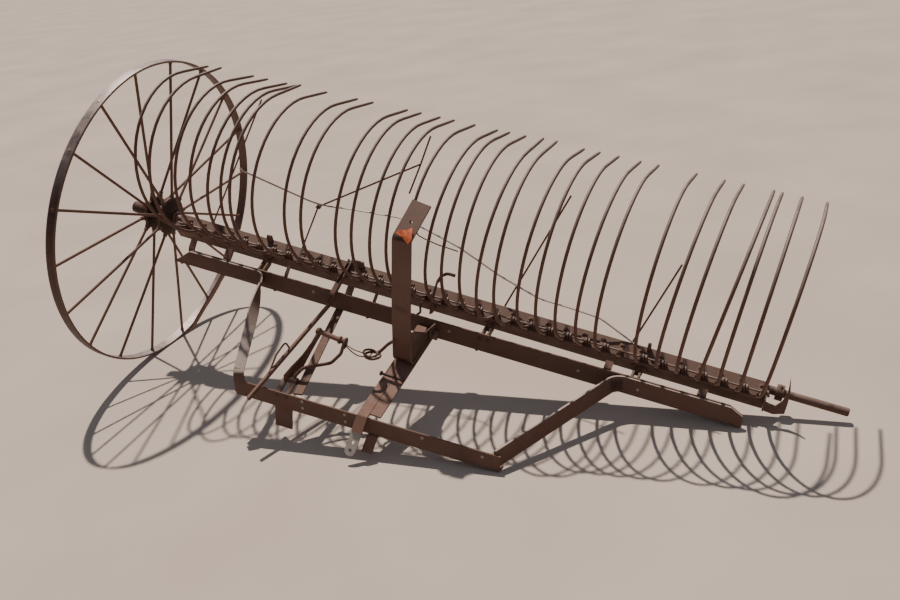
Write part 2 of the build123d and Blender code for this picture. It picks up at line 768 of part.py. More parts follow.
def headEar(x):
    """Pad on the front of the lower leg with one ear between the cheeks."""
    middle = corner + downLeg * earPadPlace - upLeg * padThickness / 2
    pad = Pos(middle.Y, middle.Z) * Rot(0, 0, headTurn) * Rectangle(padThickness, padHeight)
    ear = make_hull(hingeEye().edges() + pad.edges()) - pinHole()
    return place(alongAxle(pad, -padWidth / 2, padWidth) + alongAxle(ear, -earThickness / 2, earThickness), x)


def hingePinAt(x):
    half = earThickness / 2 + earGap + cheekThickness + pinHead
    return rod((x - half, hingeY, hingeZ), (x + half, hingeY, hingeZ), hingePin)


nodes = {
    "wheel_rim": [wheelRim()],
    "wheel_hub": [wheelHub()],
    "wheel_ratchet": [wheelRatchet()],
    "wheel_spokes": wheelSpokes(),
    "axle": [axle()],
    "arm_washer": [armWasher()],
    "axle_collar": [axleCollar()],
    "head_angle": [headAngle()],
    "axle_clips": [place(axleClip(), x) for x in clipPlaces],
    "teeth": rakeTeeth(),
    "tooth_holders": [place(toothHolder(), x) for slot, x in enumerate(slotPlaces()) if slot != leverSlot],
    "tooth_rod": toothRod(),
    "head_lugs": [headLug(*lug) for lug in headLugs],
    "end_horn": [endHorn()],
    "hand_lever": [handLever()],
    "lever_foot": [leverFootBlock()],
    "lever_bail": [leverBail()],
    "arm_hook": [armHook()],
    "loose_rods": looseRods(),
    "front_beam": [frontBeam()],
    "front_crossbar": [frontCrossbar()],
    "member_right": [clipRight(sideMember(rightLapEnd, rightBend, rightCorner))],
    "member_left": [slantLeft(sideMember(leftLapEnd, leftBend, leftCorner))],
    "tongue": [tongueLeft()],
    "tongue_right": [tongueRight()],
    "tongue_strap_grey": [tongueStrapGrey()],
    "tongue_strap_rust": [tongueStrapRust()],
    "seat_spring": [seatSpring()],
    "beam_links": [beamLink(*link) for link in beamLinks],
    "lever_brace": [leverBrace()],
    "foot_trip": [footTrip()],
    "eye_rod": [eyeRod()],
    "crossbar_leg": [crossbarLegPiece()],
    "hanging_strap": [hangingStrapPiece()],
    "frame_brackets": [frameBracket(x) for x in hingePlaces],
    "head_ears": [headEar(x) for x in hingePlaces],
    "hinge_pins": [hingePinAt(x) for x in hingePlaces],
}

wheelNodes = ("wheel_rim", "wheel_hub", "wheel_ratchet", "wheel_spokes")
toStand = Rot(0, axleTilt, 0) * Rot(-nosePitch, 0, 0)
wheelTurn = Rot(0, 0, wheelLean)

placed = {}
for name, solids in nodes.items():
    local = wheelTurn if name in wheelNodes else Pos(0, 0, 0)
    placed[name] = Compound([toStand * local * solid for solid in solids for solid in solid.solids()])

box = Compound(list(placed.values())).bounding_box()
shift = Pos(-(box.min.X + box.max.X) / 2, -(box.min.Y + box.max.Y) / 2, -box.min.Z)
standing = shift * toStand

os.makedirs("parts", exist_ok=True)
for name, piece in placed.items():
    export_step(shift * piece, f"parts/{name}.step")
print("size", box.size, "lowest", round(box.min.Z, 2), "wheel height", round(wheelHeight, 2), "tilt", axleTilt)
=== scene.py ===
import json
import math
import bmesh
import bpy
from mathutils import Matrix, Vector


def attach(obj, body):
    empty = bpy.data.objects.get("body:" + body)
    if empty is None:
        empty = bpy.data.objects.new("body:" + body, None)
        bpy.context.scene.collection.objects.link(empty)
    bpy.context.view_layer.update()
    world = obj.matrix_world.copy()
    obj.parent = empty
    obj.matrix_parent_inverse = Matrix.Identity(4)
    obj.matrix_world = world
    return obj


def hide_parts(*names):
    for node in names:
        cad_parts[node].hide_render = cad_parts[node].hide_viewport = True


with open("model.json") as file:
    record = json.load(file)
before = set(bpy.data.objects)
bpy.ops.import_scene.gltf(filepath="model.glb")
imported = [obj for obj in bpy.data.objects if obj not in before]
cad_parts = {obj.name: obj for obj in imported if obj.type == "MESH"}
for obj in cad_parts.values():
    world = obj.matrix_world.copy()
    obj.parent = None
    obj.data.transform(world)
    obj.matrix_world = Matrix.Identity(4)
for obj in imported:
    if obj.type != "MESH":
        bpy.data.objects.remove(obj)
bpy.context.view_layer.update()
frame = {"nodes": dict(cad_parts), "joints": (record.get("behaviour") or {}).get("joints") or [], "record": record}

print("frame loaded:", len(frame["nodes"]), "nodes")

# The rake's own level frame: X along the axle, Y to the rear, Z up, zero at the middle of the wheel.
# The tilt of the axle is read from the hinge, so everything follows the model's stand.
stand = {"nosePitch": 3.5, "wheelLean": 2.7}
joints = {joint["name"]: joint for joint in frame["joints"]}
wheelMiddle = Vector(joints["wheel_turn"]["pos_m"])
hingeLine = Vector(joints["rake_hinge"]["axis"])
rakeFrame = (Matrix.Translation(wheelMiddle)
             @ Matrix.Rotation(math.atan2(-hingeLine.z, hingeLine.x), 4, "Y")
             @ Matrix.Rotation(-math.radians(stand["nosePitch"]), 4, "X"))
wheelFrame = rakeFrame @ Matrix.Rotation(math.radians(stand["wheelLean"]), 4, "Z")


def mm(x, y, z):  # millimetres of the level frame
    return Vector((x / 1000, y / 1000, z / 1000))


# Camera at the photograph's angle
camera = {"place": (2765, -3267, 1615), "forward": (-0.3262, 0.8460, -0.4217),
          "up": (-0.2641, 0.3468, 0.9000), "lens": 36.85, "sensor": 36.0, "clipEnd": 400}


def makeCamera():
    data = bpy.data.cameras.new("camera")
    data.lens = camera["lens"]
    data.sensor_width = camera["sensor"]
    data.clip_end = camera["clipEnd"]
    cam = bpy.data.objects.new("camera", data)
    bpy.context.scene.collection.objects.link(cam)
    turn = rakeFrame.to_3x3()
    forward = (turn @ Vector(camera["forward"])).normalized()
    right = forward.cross(turn @ Vector(camera["up"])).normalized()
    basis = Matrix((right, right.cross(forward), -forward)).transposed().to_4x4()
    cam.matrix_world = Matrix.Translation(rakeFrame @ mm(*camera["place"])) @ basis
    bpy.context.scene.camera = cam


# Colours and nodes


def colour(hexValue):  # sRGB hex to linear
    out = []
    for start in (1, 3, 5):
        c = int(hexValue[start:start + 2], 16) / 255
        out.append(c / 12.92 if c <= 0.04045 else ((c + 0.055) / 1.055) ** 2.4)
    return (*out, 1.0)


def addNode(tree, kind, settings=None, links=None):  # links run from (node, socket) to the named input
    node = tree.nodes.new(kind)
    for key, value in (settings or {}).items():
        if isinstance(key, int) or key in node.inputs:
            node.inputs[key].default_value = value
        else:
            setattr(node, key, value)
    for key, (source, socket) in (links or {}).items():
        tree.links.new(source.outputs[socket], node.inputs[key])
    return node


def setRamp(node, stops):  # stops are (place, hex)
    ramp = node.color_ramp
    while len(ramp.elements) > 1:
        ramp.elements.remove(ramp.elements[-1])
    ramp.elements[0].position = stops[0][0]
    ramp.elements[0].color = colour(stops[0][1])
    for position, hexValue in stops[1:]:
        ramp.elements.new(position).color = colour(hexValue)


def emptyMaterial(name):
    material = bpy.data.materials.new(name)
    material.use_nodes = True
    material.node_tree.nodes.clear()
    return material, material.node_tree


def perMetre(millimetres):  # noise scale that gives features of this size
    return 1000 / millimetres


# Wrought iron and rolled steel left outside for decades: matt brown rust, red-brown patches, lighter worn
# edges, dark pits, and paler faces that point up: dust settled there, and painted light on the lit tops.
def rustedIron(name, look):
    material, tree = emptyMaterial(name)
    coords = addNode(tree, "ShaderNodeTexCoord")
    patches = addNode(tree, "ShaderNodeTexNoise",
                      {"Scale": perMetre(look["patch"]), "Detail": 6.0, "Roughness": 0.62, "Distortion": 0.4},
                      {"Vector": (coords, "Object")})
    grit = addNode(tree, "ShaderNodeTexNoise",
                   {"Scale": perMetre(look["grit"]), "Detail": 4.0, "Roughness": 0.7},
                   {"Vector": (coords, "Object")})
    flakes = addNode(tree, "ShaderNodeTexVoronoi",
                     {"Scale": perMetre(look["flake"]), "Randomness": 1.0, "feature": "F1"},
                     {"Vector": (coords, "Object")})
    base = addNode(tree, "ShaderNodeValToRGB", None, {"Fac": (patches, "Fac")})
    setRamp(base, [(0.30, look["dark"]), (0.48, look["mid"]), (0.62, look["red"]), (0.78, look["mid"])])
    speckle = addNode(tree, "ShaderNodeMapRange",
                      {"From Min": 0.46, "From Max": 0.74, "To Min": 0.0, "To Max": look["speckle"]},
                      {"Value": (grit, "Fac")})
    spotted = addNode(tree, "ShaderNodeMix", {"data_type": "RGBA", 7: colour(look["light"])},
                      {"Factor": (speckle, "Result"), 6: (base, "Color")})
    geometry = addNode(tree, "ShaderNodeNewGeometry")
    edge = addNode(tree, "ShaderNodeMapRange", {"From Min": 0.52, "From Max": 0.60, "To Max": look["wear"]},
                   {"Value": (geometry, "Pointiness")})
    worn = addNode(tree, "ShaderNodeMix", {"data_type": "RGBA", 7: colour(look["edge"])},
                   {"Factor": (edge, "Result"), 6: (spotted, 2)})
    # Faces that point up turn paler: partly dust, partly painted light standing for the light that falls on tops
    direction = addNode(tree, "ShaderNodeSeparateXYZ", None, {"Vector": (geometry, "Normal")})
    upward = addNode(tree, "ShaderNodeMapRange", {"From Min": 0.35, "From Max": 0.95, "To Max": look["dustAndLitTop"]},
                     {"Value": (direction, "Z")})
    dustAndLitTopMask = addNode(tree, "ShaderNodeMath", {"operation": "MULTIPLY"},
                       {0: (upward, "Result"), 1: (patches, "Fac")})
    dustedAndLitTop = addNode(tree, "ShaderNodeMix", {"data_type": "RGBA", 7: colour(look["dustAndLitTopColour"])},
                     {"Factor": (dustAndLitTopMask, "Value"), 6: (worn, 2)})
    height = addNode(tree, "ShaderNodeMath", {"operation": "MULTIPLY_ADD", 1: 0.55},
                     {0: (flakes, "Distance"), 2: (grit, "Fac")})
    bump = addNode(tree, "ShaderNodeBump", {"Strength": look["bump"], "Distance": look["depth"] / 1000},
                   {"Height": (height, "Value")})
    rough = addNode(tree, "ShaderNodeMapRange", {"From Min": 0.3, "From Max": 0.7, "To Min": look["smooth"],
                                                 "To Max": look["rough"]},
                    {"Value": (patches, "Fac")})
    shader = addNode(tree, "ShaderNodeBsdfPrincipled", {"Metallic": look["metal"]},
                     {"Base Color": (dustedAndLitTop, 2), "Roughness": (rough, "Result"), "Normal": (bump, "Normal")})
    addNode(tree, "ShaderNodeOutputMaterial", None, {"Surface": (shader, "BSDF")})
    return material


# Finishes, one for each slot of the record
rustLook = {"patch": 55, "grit": 3.0, "flake": 6.0, "dark": "#22140F", "mid": "#3A211A", "red": "#4A281C",
            "light": "#6A4A3E", "edge": "#7E5E50", "dustAndLitTopColour": "#8E7469", "speckle": 0.3, "wear": 0.55,
            "dustAndLitTop": 0.7, "bump": 0.55, "depth": 0.8, "smooth": 0.62, "rough": 0.9, "metal": 0.15}
finishes = {
    # frame_iron is nearly black: its rust darkened as painted shade, so the frame's faces in shade read deep
    "frame_iron": {"dark": "#0E0807", "mid": "#1A0F0C", "red": "#261510", "light": "#52392F", "patch": 90,
                   "dustAndLitTop": 0.5},
    # Very pale tops of the side bar: dust, and painted light on its lit upper edge
    "side_bar": {"dark": "#1E1210", "mid": "#36231E", "red": "#402720", "light": "#7E6A62",
                 "dustAndLitTopColour": "#C4B8B2", "dustAndLitTop": 1.3, "patch": 80},
    "tongue_bar": {"dark": "#4A332B", "mid": "#6A4A3F", "red": "#744838", "light": "#94796D", "patch": 45},
    "grey_strap": {"dark": "#6A605A", "mid": "#857C76", "red": "#8E837B", "light": "#B4ACA4",
                   "edge": "#C0B8B0", "dustAndLitTopColour": "#A89C94", "patch": 30, "metal": 0.4, "smooth": 0.45,
                   "rough": 0.65},
    "rust_strap": {"dark": "#4A2A1E", "mid": "#6A4031", "red": "#7E4D38", "light": "#987564", "patch": 30},
    "seat_spring": {"dark": "#1E110D", "mid": "#301B15", "red": "#3E2219", "dustAndLitTopColour": "#9A857B",
                    "patch": 110, "grit": 2.2, "speckle": 0.2, "smooth": 0.5, "rough": 0.75},
    "control_iron": {"dark": "#22140F", "mid": "#3A211A", "red": "#4E2B1F", "patch": 40},
    "bracket_iron": {"dark": "#180E0B", "mid": "#281712", "red": "#3A2118", "patch": 30},
    "pin_steel": {"dark": "#261712", "mid": "#40251C", "red": "#522C1F", "patch": 20},
    # Pale top of the axle: dust, and painted light on its lit top
    "axle_steel": {"dark": "#241510", "mid": "#38211A", "red": "#46281C", "light": "#75574A",
                   "dustAndLitTopColour": "#A5938B", "dustAndLitTop": 1.0, "patch": 60},
    "head_iron": {"dark": "#1E1310", "mid": "#2E1D19", "red": "#38221C", "light": "#5E4A44",
                  "dustAndLitTopColour": "#7E6A64", "patch": 70, "dustAndLitTop": 0.55},
    # Grey tops of the teeth: dust, and painted light on their lit upper sides
    "tooth_steel": {"dark": "#261611", "mid": "#3C221A", "red": "#4A281C", "light": "#785C50",
                    "dustAndLitTopColour": "#A89C9A", "dustAndLitTop": 1.2, "patch": 60, "metal": 0.3, "smooth": 0.5,
                    "rough": 0.75},
    "holder_cast": {"dark": "#22140F", "mid": "#3C2219", "red": "#4E2B1E", "patch": 18, "flake": 4.0},
    # Pale grey top of the tread: dust, and a painted glint where the tread catches the light
    "wheel_tyre": {"dark": "#241512", "mid": "#3A231C", "red": "#4A2B20", "light": "#7C6258",
                   "edge": "#8E7468", "dustAndLitTopColour": "#B8ACAC", "patch": 45, "dustAndLitTop": 1.3, "metal": 0.4,
                   "smooth": 0.38, "rough": 0.6},
    "hub_cast": {"dark": "#160D0A", "mid": "#24140F", "red": "#341C14", "patch": 25, "flake": 3.5},
    "spoke_iron": {"dark": "#221410", "mid": "#341E17", "red": "#42251B", "light": "#71554A", "patch": 50},
}
materials = {}


def makeFinishes():
    for slot, changes in finishes.items():
        materials[slot] = rustedIron("rusted_" + slot, {**rustLook, **changes})


def paint(piece, slot):
    piece.data.materials.clear()
    piece.data.materials.append(materials[slot])


def paintNodes():
    slotOf = {row["node"]: row["material_slot"] for row in frame["record"]["subparts"]}
    for name, node in frame["nodes"].items():
        for held in node.material_slots:
            held.material = materials[slotOf[name]]
        if not node.material_slots:
            node.data.materials.append(materials[slotOf[name]])


# Floor and lights
floorLook = {"size": 300, "cloud": 0.9, "dark": "#BFB0A6", "pale": "#CBBDB3"}


def makeStage():
    bpy.ops.mesh.primitive_plane_add(size=floorLook["size"], location=(0, 0, 0))
    floor = bpy.context.object
    floor.name = "floor"
    material, tree = emptyMaterial("pale_floor")
    coords = addNode(tree, "ShaderNodeTexCoord")
    cloud = addNode(tree, "ShaderNodeTexNoise", {"Scale": 1 / floorLook["cloud"], "Detail": 3.0},
                    {"Vector": (coords, "Object")})
    tone = addNode(tree, "ShaderNodeValToRGB", None, {"Fac": (cloud, "Fac")})
    setRamp(tone, [(0.3, floorLook["dark"]), (0.7, floorLook["pale"])])
    shader = addNode(tree, "ShaderNodeBsdfPrincipled", {"Roughness": 0.9}, {"Base Color": (tone, "Color")})
    addNode(tree, "ShaderNodeOutputMaterial", None, {"Surface": (shader, "BSDF")})
    floor.data.materials.append(material)


# Soft lamps at the front and the left, both aimed at the rake's middle, and one key light
lights = {"fill": {"from": (3.5, -5.5, 4.5), "size": 5.0, "power": 22, "tint": "#EEF2FF"},
          "side": {"from": (-6.0, -2.0, 3.5), "size": 4.0, "power": 14, "tint": "#F4F4FF"}}
lampAim = (0, 0, 0.4)
key = {"from": (-0.278, 0.339, 0.899), "power": 4.3, "softness": 1.2, "tint": "#FFF1E2"}
sky = {"tint": "#D8DEEA", "strength": 0.24}


def makeLights():
    for name, light in lights.items():
        data = bpy.data.lights.new(name, "AREA")
        data.size = light["size"]
        data.energy = light["power"]
        data.color = colour(light["tint"])[:3]
        lamp = bpy.data.objects.new(name, data)
        bpy.context.scene.collection.objects.link(lamp)
        lamp.location = light["from"]
        aim = Vector(lampAim) - Vector(light["from"])
        lamp.rotation_euler = aim.to_track_quat("-Z", "Y").to_euler()
    data = bpy.data.lights.new("key", "SUN")
    data.energy = key["power"]
    data.angle = math.radians(key["softness"])
    data.color = colour(key["tint"])[:3]
    lamp = bpy.data.objects.new("key", data)
    bpy.context.scene.collection.objects.link(lamp)
    lamp.rotation_euler = (-Vector(key["from"])).to_track_quat("-Z", "Y").to_euler()
    world = bpy.data.worlds.new("sky")
    world.use_nodes = True
    world.node_tree.nodes["Background"].inputs["Color"].default_value = colour(sky["tint"])
    world.node_tree.nodes["Background"].inputs["Strength"].default_value = sky["strength"]
    bpy.context.scene.world = world


# Hand tools for the pieces, all drawn in metres in the level frame


def deselectAll():
    bpy.ops.object.select_all(action="DESELECT")


def alone(piece):  # the only one selected
    deselectAll()
    piece.select_set(True)
    bpy.context.view_layer.objects.active = piece


def openMesh(piece):
    alone(piece)
    bpy.ops.object.mode_set(mode="EDIT")


def closeMesh():
    bpy.ops.object.mode_set(mode="OBJECT")


def pick(piece, test, kind="FACE"):  # select what passes the test, in edit mode
    bpy.ops.mesh.select_mode(type=kind)
    bpy.ops.mesh.select_all(action="DESELECT")
    mesh = bmesh.from_edit_mesh(piece.data)
    for item in {"VERT": mesh.verts, "EDGE": mesh.edges, "FACE": mesh.faces}[kind]:
        if test(item):
            item.select_set(True)
    mesh.select_flush_mode()
    bmesh.update_edit_mesh(piece.data)


def named(name):  # the primitive just added
    piece = bpy.context.object
    piece.name = name
    return piece


def applyPlace(piece):
    alone(piece)
    bpy.ops.object.transform_apply(location=True, rotation=True, scale=True)


def joined(name, pieces):
    deselectAll()
    for piece in pieces:
        piece.select_set(True)
    bpy.context.view_layer.objects.active = pieces[0]
    bpy.ops.object.join()
    pieces[0].name = name
    return pieces[0]


def copied(piece, matrix):  # its own mesh, moved into place
    twin = piece.copy()
    twin.data = piece.data.copy()
    twin.data.transform(matrix)
    bpy.context.scene.collection.objects.link(twin)
    return twin


def scaled(factors):
    return Matrix.Diagonal((*factors, 1))


def dropped(piece):
    bpy.data.objects.remove(piece, do_unlink=True)


def softened(piece, width, segments=2, angle=35):  # rounded edges, width in millimetres
    alone(piece)
    bpy.ops.object.modifier_add(type="BEVEL")
    bevel = piece.modifiers[-1]
    bevel.width = width / 1000
    bevel.segments = segments
    bevel.limit_method = "ANGLE"
    bevel.angle_limit = math.radians(angle)
    bpy.ops.object.modifier_apply(modifier=bevel.name)
    return piece


def axes(heading, side=None):  # turns Z to the heading and X to the side
    heading = heading.normalized()
    side = side or (Vector((1, 0, 0)) if abs(heading.x) < 0.9 else Vector((0, 1, 0)))
    side = (side - heading * side.dot(heading)).normalized()
    return Matrix((side, heading.cross(side), heading)).transposed().to_4x4()


mergeGap = 0.00005  # metres between points that are one


def sealed(piece):  # close the ends and point the faces outwards
    bpy.ops.mesh.select_all(action="SELECT")
    bpy.ops.mesh.remove_doubles(threshold=mergeGap)
    bpy.ops.mesh.fill_holes(sides=0)
    bpy.ops.mesh.normals_make_consistent(inside=False)
    closeMesh()
    return piece


# A corner takes at most this share of its shorter run, below "straight" radians there is none, and one spun
# step covers "step" radians
bending = {"longestCorner": 0.48, "straight": 0.02, "step": 0.3}


# A bar pushed along a line: straight runs are extruded and corners are spun. Section is (diameter, sides)
# for a round bar, or (width, thickness, side) for a flat one.
def bentBar(name, points, section, corner=0.0, flat=False):
    places = [mm(*point) for point in points]
    first = places[1] - places[0]
    deselectAll()
    if flat:
        bpy.ops.mesh.primitive_plane_add(size=1)
        bar = named(name)
        bar.matrix_world = (Matrix.Translation(places[0]) @ axes(first, Vector(section[2]))
                            @ Matrix.Diagonal((section[0] / 1000, section[1] / 1000, 1, 1)))
    else:
        bpy.ops.mesh.primitive_circle_add(vertices=section[1], radius=section[0] / 2000, fill_type="NOTHING")
        bar = named(name)
        bar.matrix_world = Matrix.Translation(places[0]) @ axes(first)
    applyPlace(bar)
    openMesh(bar)
    bpy.ops.mesh.select_all(action="SELECT")
    if flat:
        bpy.ops.mesh.delete(type="ONLY_FACE")
    bpy.ops.mesh.select_mode(type="EDGE")
    bpy.ops.mesh.select_all(action="SELECT")
    here = places[0]
    for before, at, after in zip(places, places[1:], places[2:]):
        come, go = (at - before).normalized(), (after - at).normalized()
        angle = come.angle(go)
        shortest = min((at - before).length, (after - at).length)
        reach = min(max(corner, 0.1) / 1000 * math.tan(angle / 2), bending["longestCorner"] * shortest)
        bpy.ops.mesh.extrude_region_move(TRANSFORM_OT_translate={"value": at - come * reach - here})
        if angle > bending["straight"]:
            axis = come.cross(go).normalized()
            middle = at - come * reach + axis.cross(come) * (reach / math.tan(angle / 2))
            steps = max(1, math.ceil(angle / bending["step"])) if corner else 1
            bpy.ops.mesh.spin(steps=steps, angle=-angle, center=middle, axis=axis)
        here = at + go * reach
    bpy.ops.mesh.extrude_region_move(TRANSFORM_OT_translate={"value": places[-1] - here})
    return sealed(bar)


def onePoint(name, place):  # a single vertex to draw from, left open in edit mode
    deselectAll()
    bpy.ops.mesh.primitive_plane_add(size=0.002)
    piece = named(name)
    openMesh(piece)
    bpy.ops.mesh.select_all(action="SELECT")
    bpy.ops.mesh.merge(type="CENTER")
    bpy.ops.mesh.select_mode(type="VERT")
    bpy.ops.mesh.select_all(action="SELECT")
    bpy.ops.transform.translate(value=mm(*place))
    return piece


# A ring turned about the axle from its outline of (along the axle, out from it)
def turned(name, outline, steps):
    ring = onePoint(name, (outline[0][0], 0, outline[0][1]))
    for (alongA, outA), (alongB, outB) in zip(outline, outline[1:]):
        step = mm(alongB - alongA, 0, outB - outA)
        bpy.ops.mesh.extrude_region_move(TRANSFORM_OT_translate={"value": step})
    bpy.ops.mesh.select_all(action="SELECT")
    bpy.ops.mesh.spin(steps=steps, angle=2 * math.pi, center=(0, 0, 0), axis=(1, 0, 0))
    bpy.ops.mesh.select_all(action="SELECT")
    bpy.ops.mesh.remove_doubles(threshold=mergeGap)
    bpy.ops.mesh.normals_make_consistent(inside=False)
    closeMesh()
    return ring


def finished(piece, slot, body, nodes=(), place=None, smooth=40):
    piece.matrix_world = (place or rakeFrame) @ piece.matrix_world
    applyPlace(piece)
    bpy.ops.object.shade_smooth_by_angle(angle=math.radians(smooth))
    paint(piece, slot)
    if nodes:
        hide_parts(*nodes)
    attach(piece, body)
    return piece


# Square nut with the bolt's end, and a round rivet head: both stand on zero, to be placed and scaled
nutSize = {"corner": 12.0, "height": 8.0, "boltInset": 4.2, "boltEnd": 5.0, "soft": 1.0}
rivetSize = {"radius": 9.0, "foot": 2.0, "steps": ((2.2, 0.8), (1.4, 0.6))}  # lift and shrink of each ring


def isTop(face):
    return face.normal.z > 0.9


def squareNut():
    deselectAll()
    height = nutSize["height"] / 1000
    bpy.ops.mesh.primitive_cylinder_add(vertices=4, radius=nutSize["corner"] / 1000, depth=height,
                                        location=(0, 0, height / 2))
    nut = named("nut")
    openMesh(nut)
    pick(nut, isTop)
    bpy.ops.mesh.inset(thickness=nutSize["boltInset"] / 1000)
    bpy.ops.mesh.extrude_region_move(TRANSFORM_OT_translate={"value": mm(0, 0, nutSize["boltEnd"])})
    closeMesh()
    return softened(nut, nutSize["soft"], 1)


def rivetHead():
    deselectAll()
    foot = rivetSize["foot"] / 1000
    bpy.ops.mesh.primitive_cylinder_add(vertices=10, radius=rivetSize["radius"] / 1000, depth=foot,
                                        location=(0, 0, foot / 2))
    rivet = named("rivet")
    openMesh(rivet)
    for lift, shrink in rivetSize["steps"]:
        pick(rivet, isTop)
        bpy.ops.mesh.extrude_region_move(TRANSFORM_OT_translate={"value": mm(0, 0, lift)})
        bpy.ops.transform.resize(value=(shrink, shrink, 1))
    closeMesh()
    return rivet


# Head: sizes in the level frame's Y and Z
head = {"turn": math.radians(37), "corner": (-62.12, -16.77)}
upLeg = Vector((0, math.cos(head["turn"]), math.sin(head["turn"])))
downLeg = Vector((0, math.sin(head["turn"]), -math.cos(head["turn"])))


def onHead(x, up, out):  # up the head's upper leg from its corner, and out from its face
    corner = Vector((x, *head["corner"]))
    return corner + upLeg * up - downLeg * out


# Spring teeth: round bar with a coil round the rod, forward and up on one arc, back over the top on another
tooth = {"diameter": 13.4, "sides": 8, "pitch": 76.25, "first": 2789.0, "slots": 35, "missing": (7, 23, 26),
         "coilWire": 9.5, "coilRadius": 9.0, "coilStep": 36, "coilSteps": 20, "coilSide": (28.0, 5.0),
         "rod": (22.2, 14.3), "root": (-58.0, 0.2), "rootRise": 12.0,
         "low": (24.9, 335.0, 77.0), "top": (30.0, 335.0, 92.0), "arcSteps": 12, "tip": 175.0,
         "tipRuns": ((0.6, 0.97), (0.3, 0.93), (0.1, 0.8)),  # share of the tip's length, and its taper
         "bendFrom": (10.0, 50.0)}  # behind the root, and above the axle
# How single teeth are bent, degrees: slot from the bare end, lean along the axle, nod to the front
toothBends = {
    0: (3.0, 0.0), 1: (2.0, 0.0), 2: (2.5, 0.0), 3: (6.5, 4.0), 4: (3.5, 0.0), 5: (4.0, 0.0), 6: (1.5, 0.0),
    8: (2.0, 0.0), 9: (2.5, 0.0), 10: (1.5, 0.0), 11: (1.5, 0.0), 12: (2.5, 0.0), 13: (1.0, 6.0),
    14: (3.0, 7.0), 15: (1.0, 0.0), 16: (1.5, 0.0), 17: (3.5, 0.0), 18: (1.5, 0.0), 20: (1.0, 0.0),
    22: (1.0, 0.0), 28: (-1.0, 6.0), 30: (2.0, 0.0), 33: (-3.0, 7.0), 34: (-6.5, 2.0)}


def slotPlaces():
    return {slot: tooth["first"] - tooth["pitch"] * slot for slot in range(tooth["slots"])}


def straightTooth():
    middle = onHead(0, *tooth["rod"]) / 1000
    right, left = tooth["coilSide"]
    start = Vector((right / 1000, middle.y, middle.z - tooth["coilRadius"] / 1000))
    deselectAll()
    bpy.ops.mesh.primitive_circle_add(vertices=tooth["sides"], radius=tooth["coilWire"] / 2000,
                                      fill_type="NOTHING")
    bar = named("tooth")
    bar.matrix_world = Matrix.Translation(start) @ axes(Vector((0, -1, 0)))
    applyPlace(bar)
    openMesh(bar)
    bpy.ops.mesh.select_mode(type="EDGE")
    bpy.ops.mesh.select_all(action="SELECT")
    for step in range(tooth["coilSteps"]):
        bpy.ops.mesh.extrude_region_move(
            TRANSFORM_OT_translate={"value": ((left - right) / tooth["coilSteps"] / 1000, 0, 0)})
        bpy.ops.transform.rotate(value=math.radians(tooth["coilStep"]), orient_axis="X",
                                 center_override=middle)
    root = mm(0, *tooth["root"])
    bpy.ops.mesh.extrude_region_move(
        TRANSFORM_OT_translate={"value": root - start + mm(right - left, 0, 0)})
    bpy.ops.transform.rotate(value=math.radians(tooth["rootRise"]), orient_axis="X", center_override=root)
    grow = tooth["diameter"] / tooth["coilWire"]
    bpy.ops.transform.resize(value=(grow, grow, grow), center_override=root)
    for name in ("low", "top"):
        y, z, sweep = tooth[name]
        bpy.ops.mesh.spin(steps=tooth["arcSteps"], angle=math.radians(sweep), center=mm(0, y, z),
                          axis=(1, 0, 0))
    last = math.radians(tooth["top"][2] - 90)
    run = Vector((0, math.cos(last), -math.sin(last)))
    for part, size in tooth["tipRuns"]:
        bpy.ops.mesh.extrude_region_move(TRANSFORM_OT_translate={"value": run * tooth["tip"] * part / 1000})
        bpy.ops.transform.resize(value=(size, size, size))
    return sealed(bar)


def makeTeeth():
    pattern = straightTooth()
    root = mm(0, *tooth["root"])
    behind, above = tooth["bendFrom"]
    teeth = []
    for slot, x in slotPlaces().items():
        if slot in tooth["missing"]:
            continue
        twin = copied(pattern, Matrix.Identity(4))
        lean, nod = toothBends.get(slot, (0, 0))
        if lean or nod:
            openMesh(twin)
            pick(twin, lambda vert: vert.co.y < root.y - behind / 1000 or vert.co.z > above / 1000, "VERT")
            bpy.ops.transform.rotate(value=-math.radians(lean), orient_axis="Y", center_override=root)
            bpy.ops.transform.rotate(value=-math.radians(nod), orient_axis="X", center_override=root)
            closeMesh()
        twin.data.transform(Matrix.Translation(mm(x, 0, 0)))
        teeth.append(twin)
    dropped(pattern)
    finished(joined("spring_teeth", teeth), "tooth_steel", "head", ["teeth"], smooth=60)
    print("teeth made:", len(teeth))


# Tooth holders: a strap hooked over the corner, a sleeve that grips the tooth and a rivet behind it
holder = {"width": 19.0, "strap": 6.0, "side": -5.0, "reach": 60.0, "hook": 20.0, "bend": 4.0,
          "sleeve": (20.0, 16.0), "sleeveAt": (-47.0, 4.0), "sleeveLength": 20.0, "rivetUp": 50.0,
          "rivetScale": 0.8, "soft": 1.5, "leverSlot": 23}
# The rod under the coils in its two lengths, and a pale rod on the head's rolled corner: a painted highlight along
# the lit edge
toothBar = {"runs": ((144, 1012), (1060, 2800)), "diameter": 8.0}
headCornerHighlight = {"ends": (160, 2796), "inset": 1.0, "diameter": 9.0}


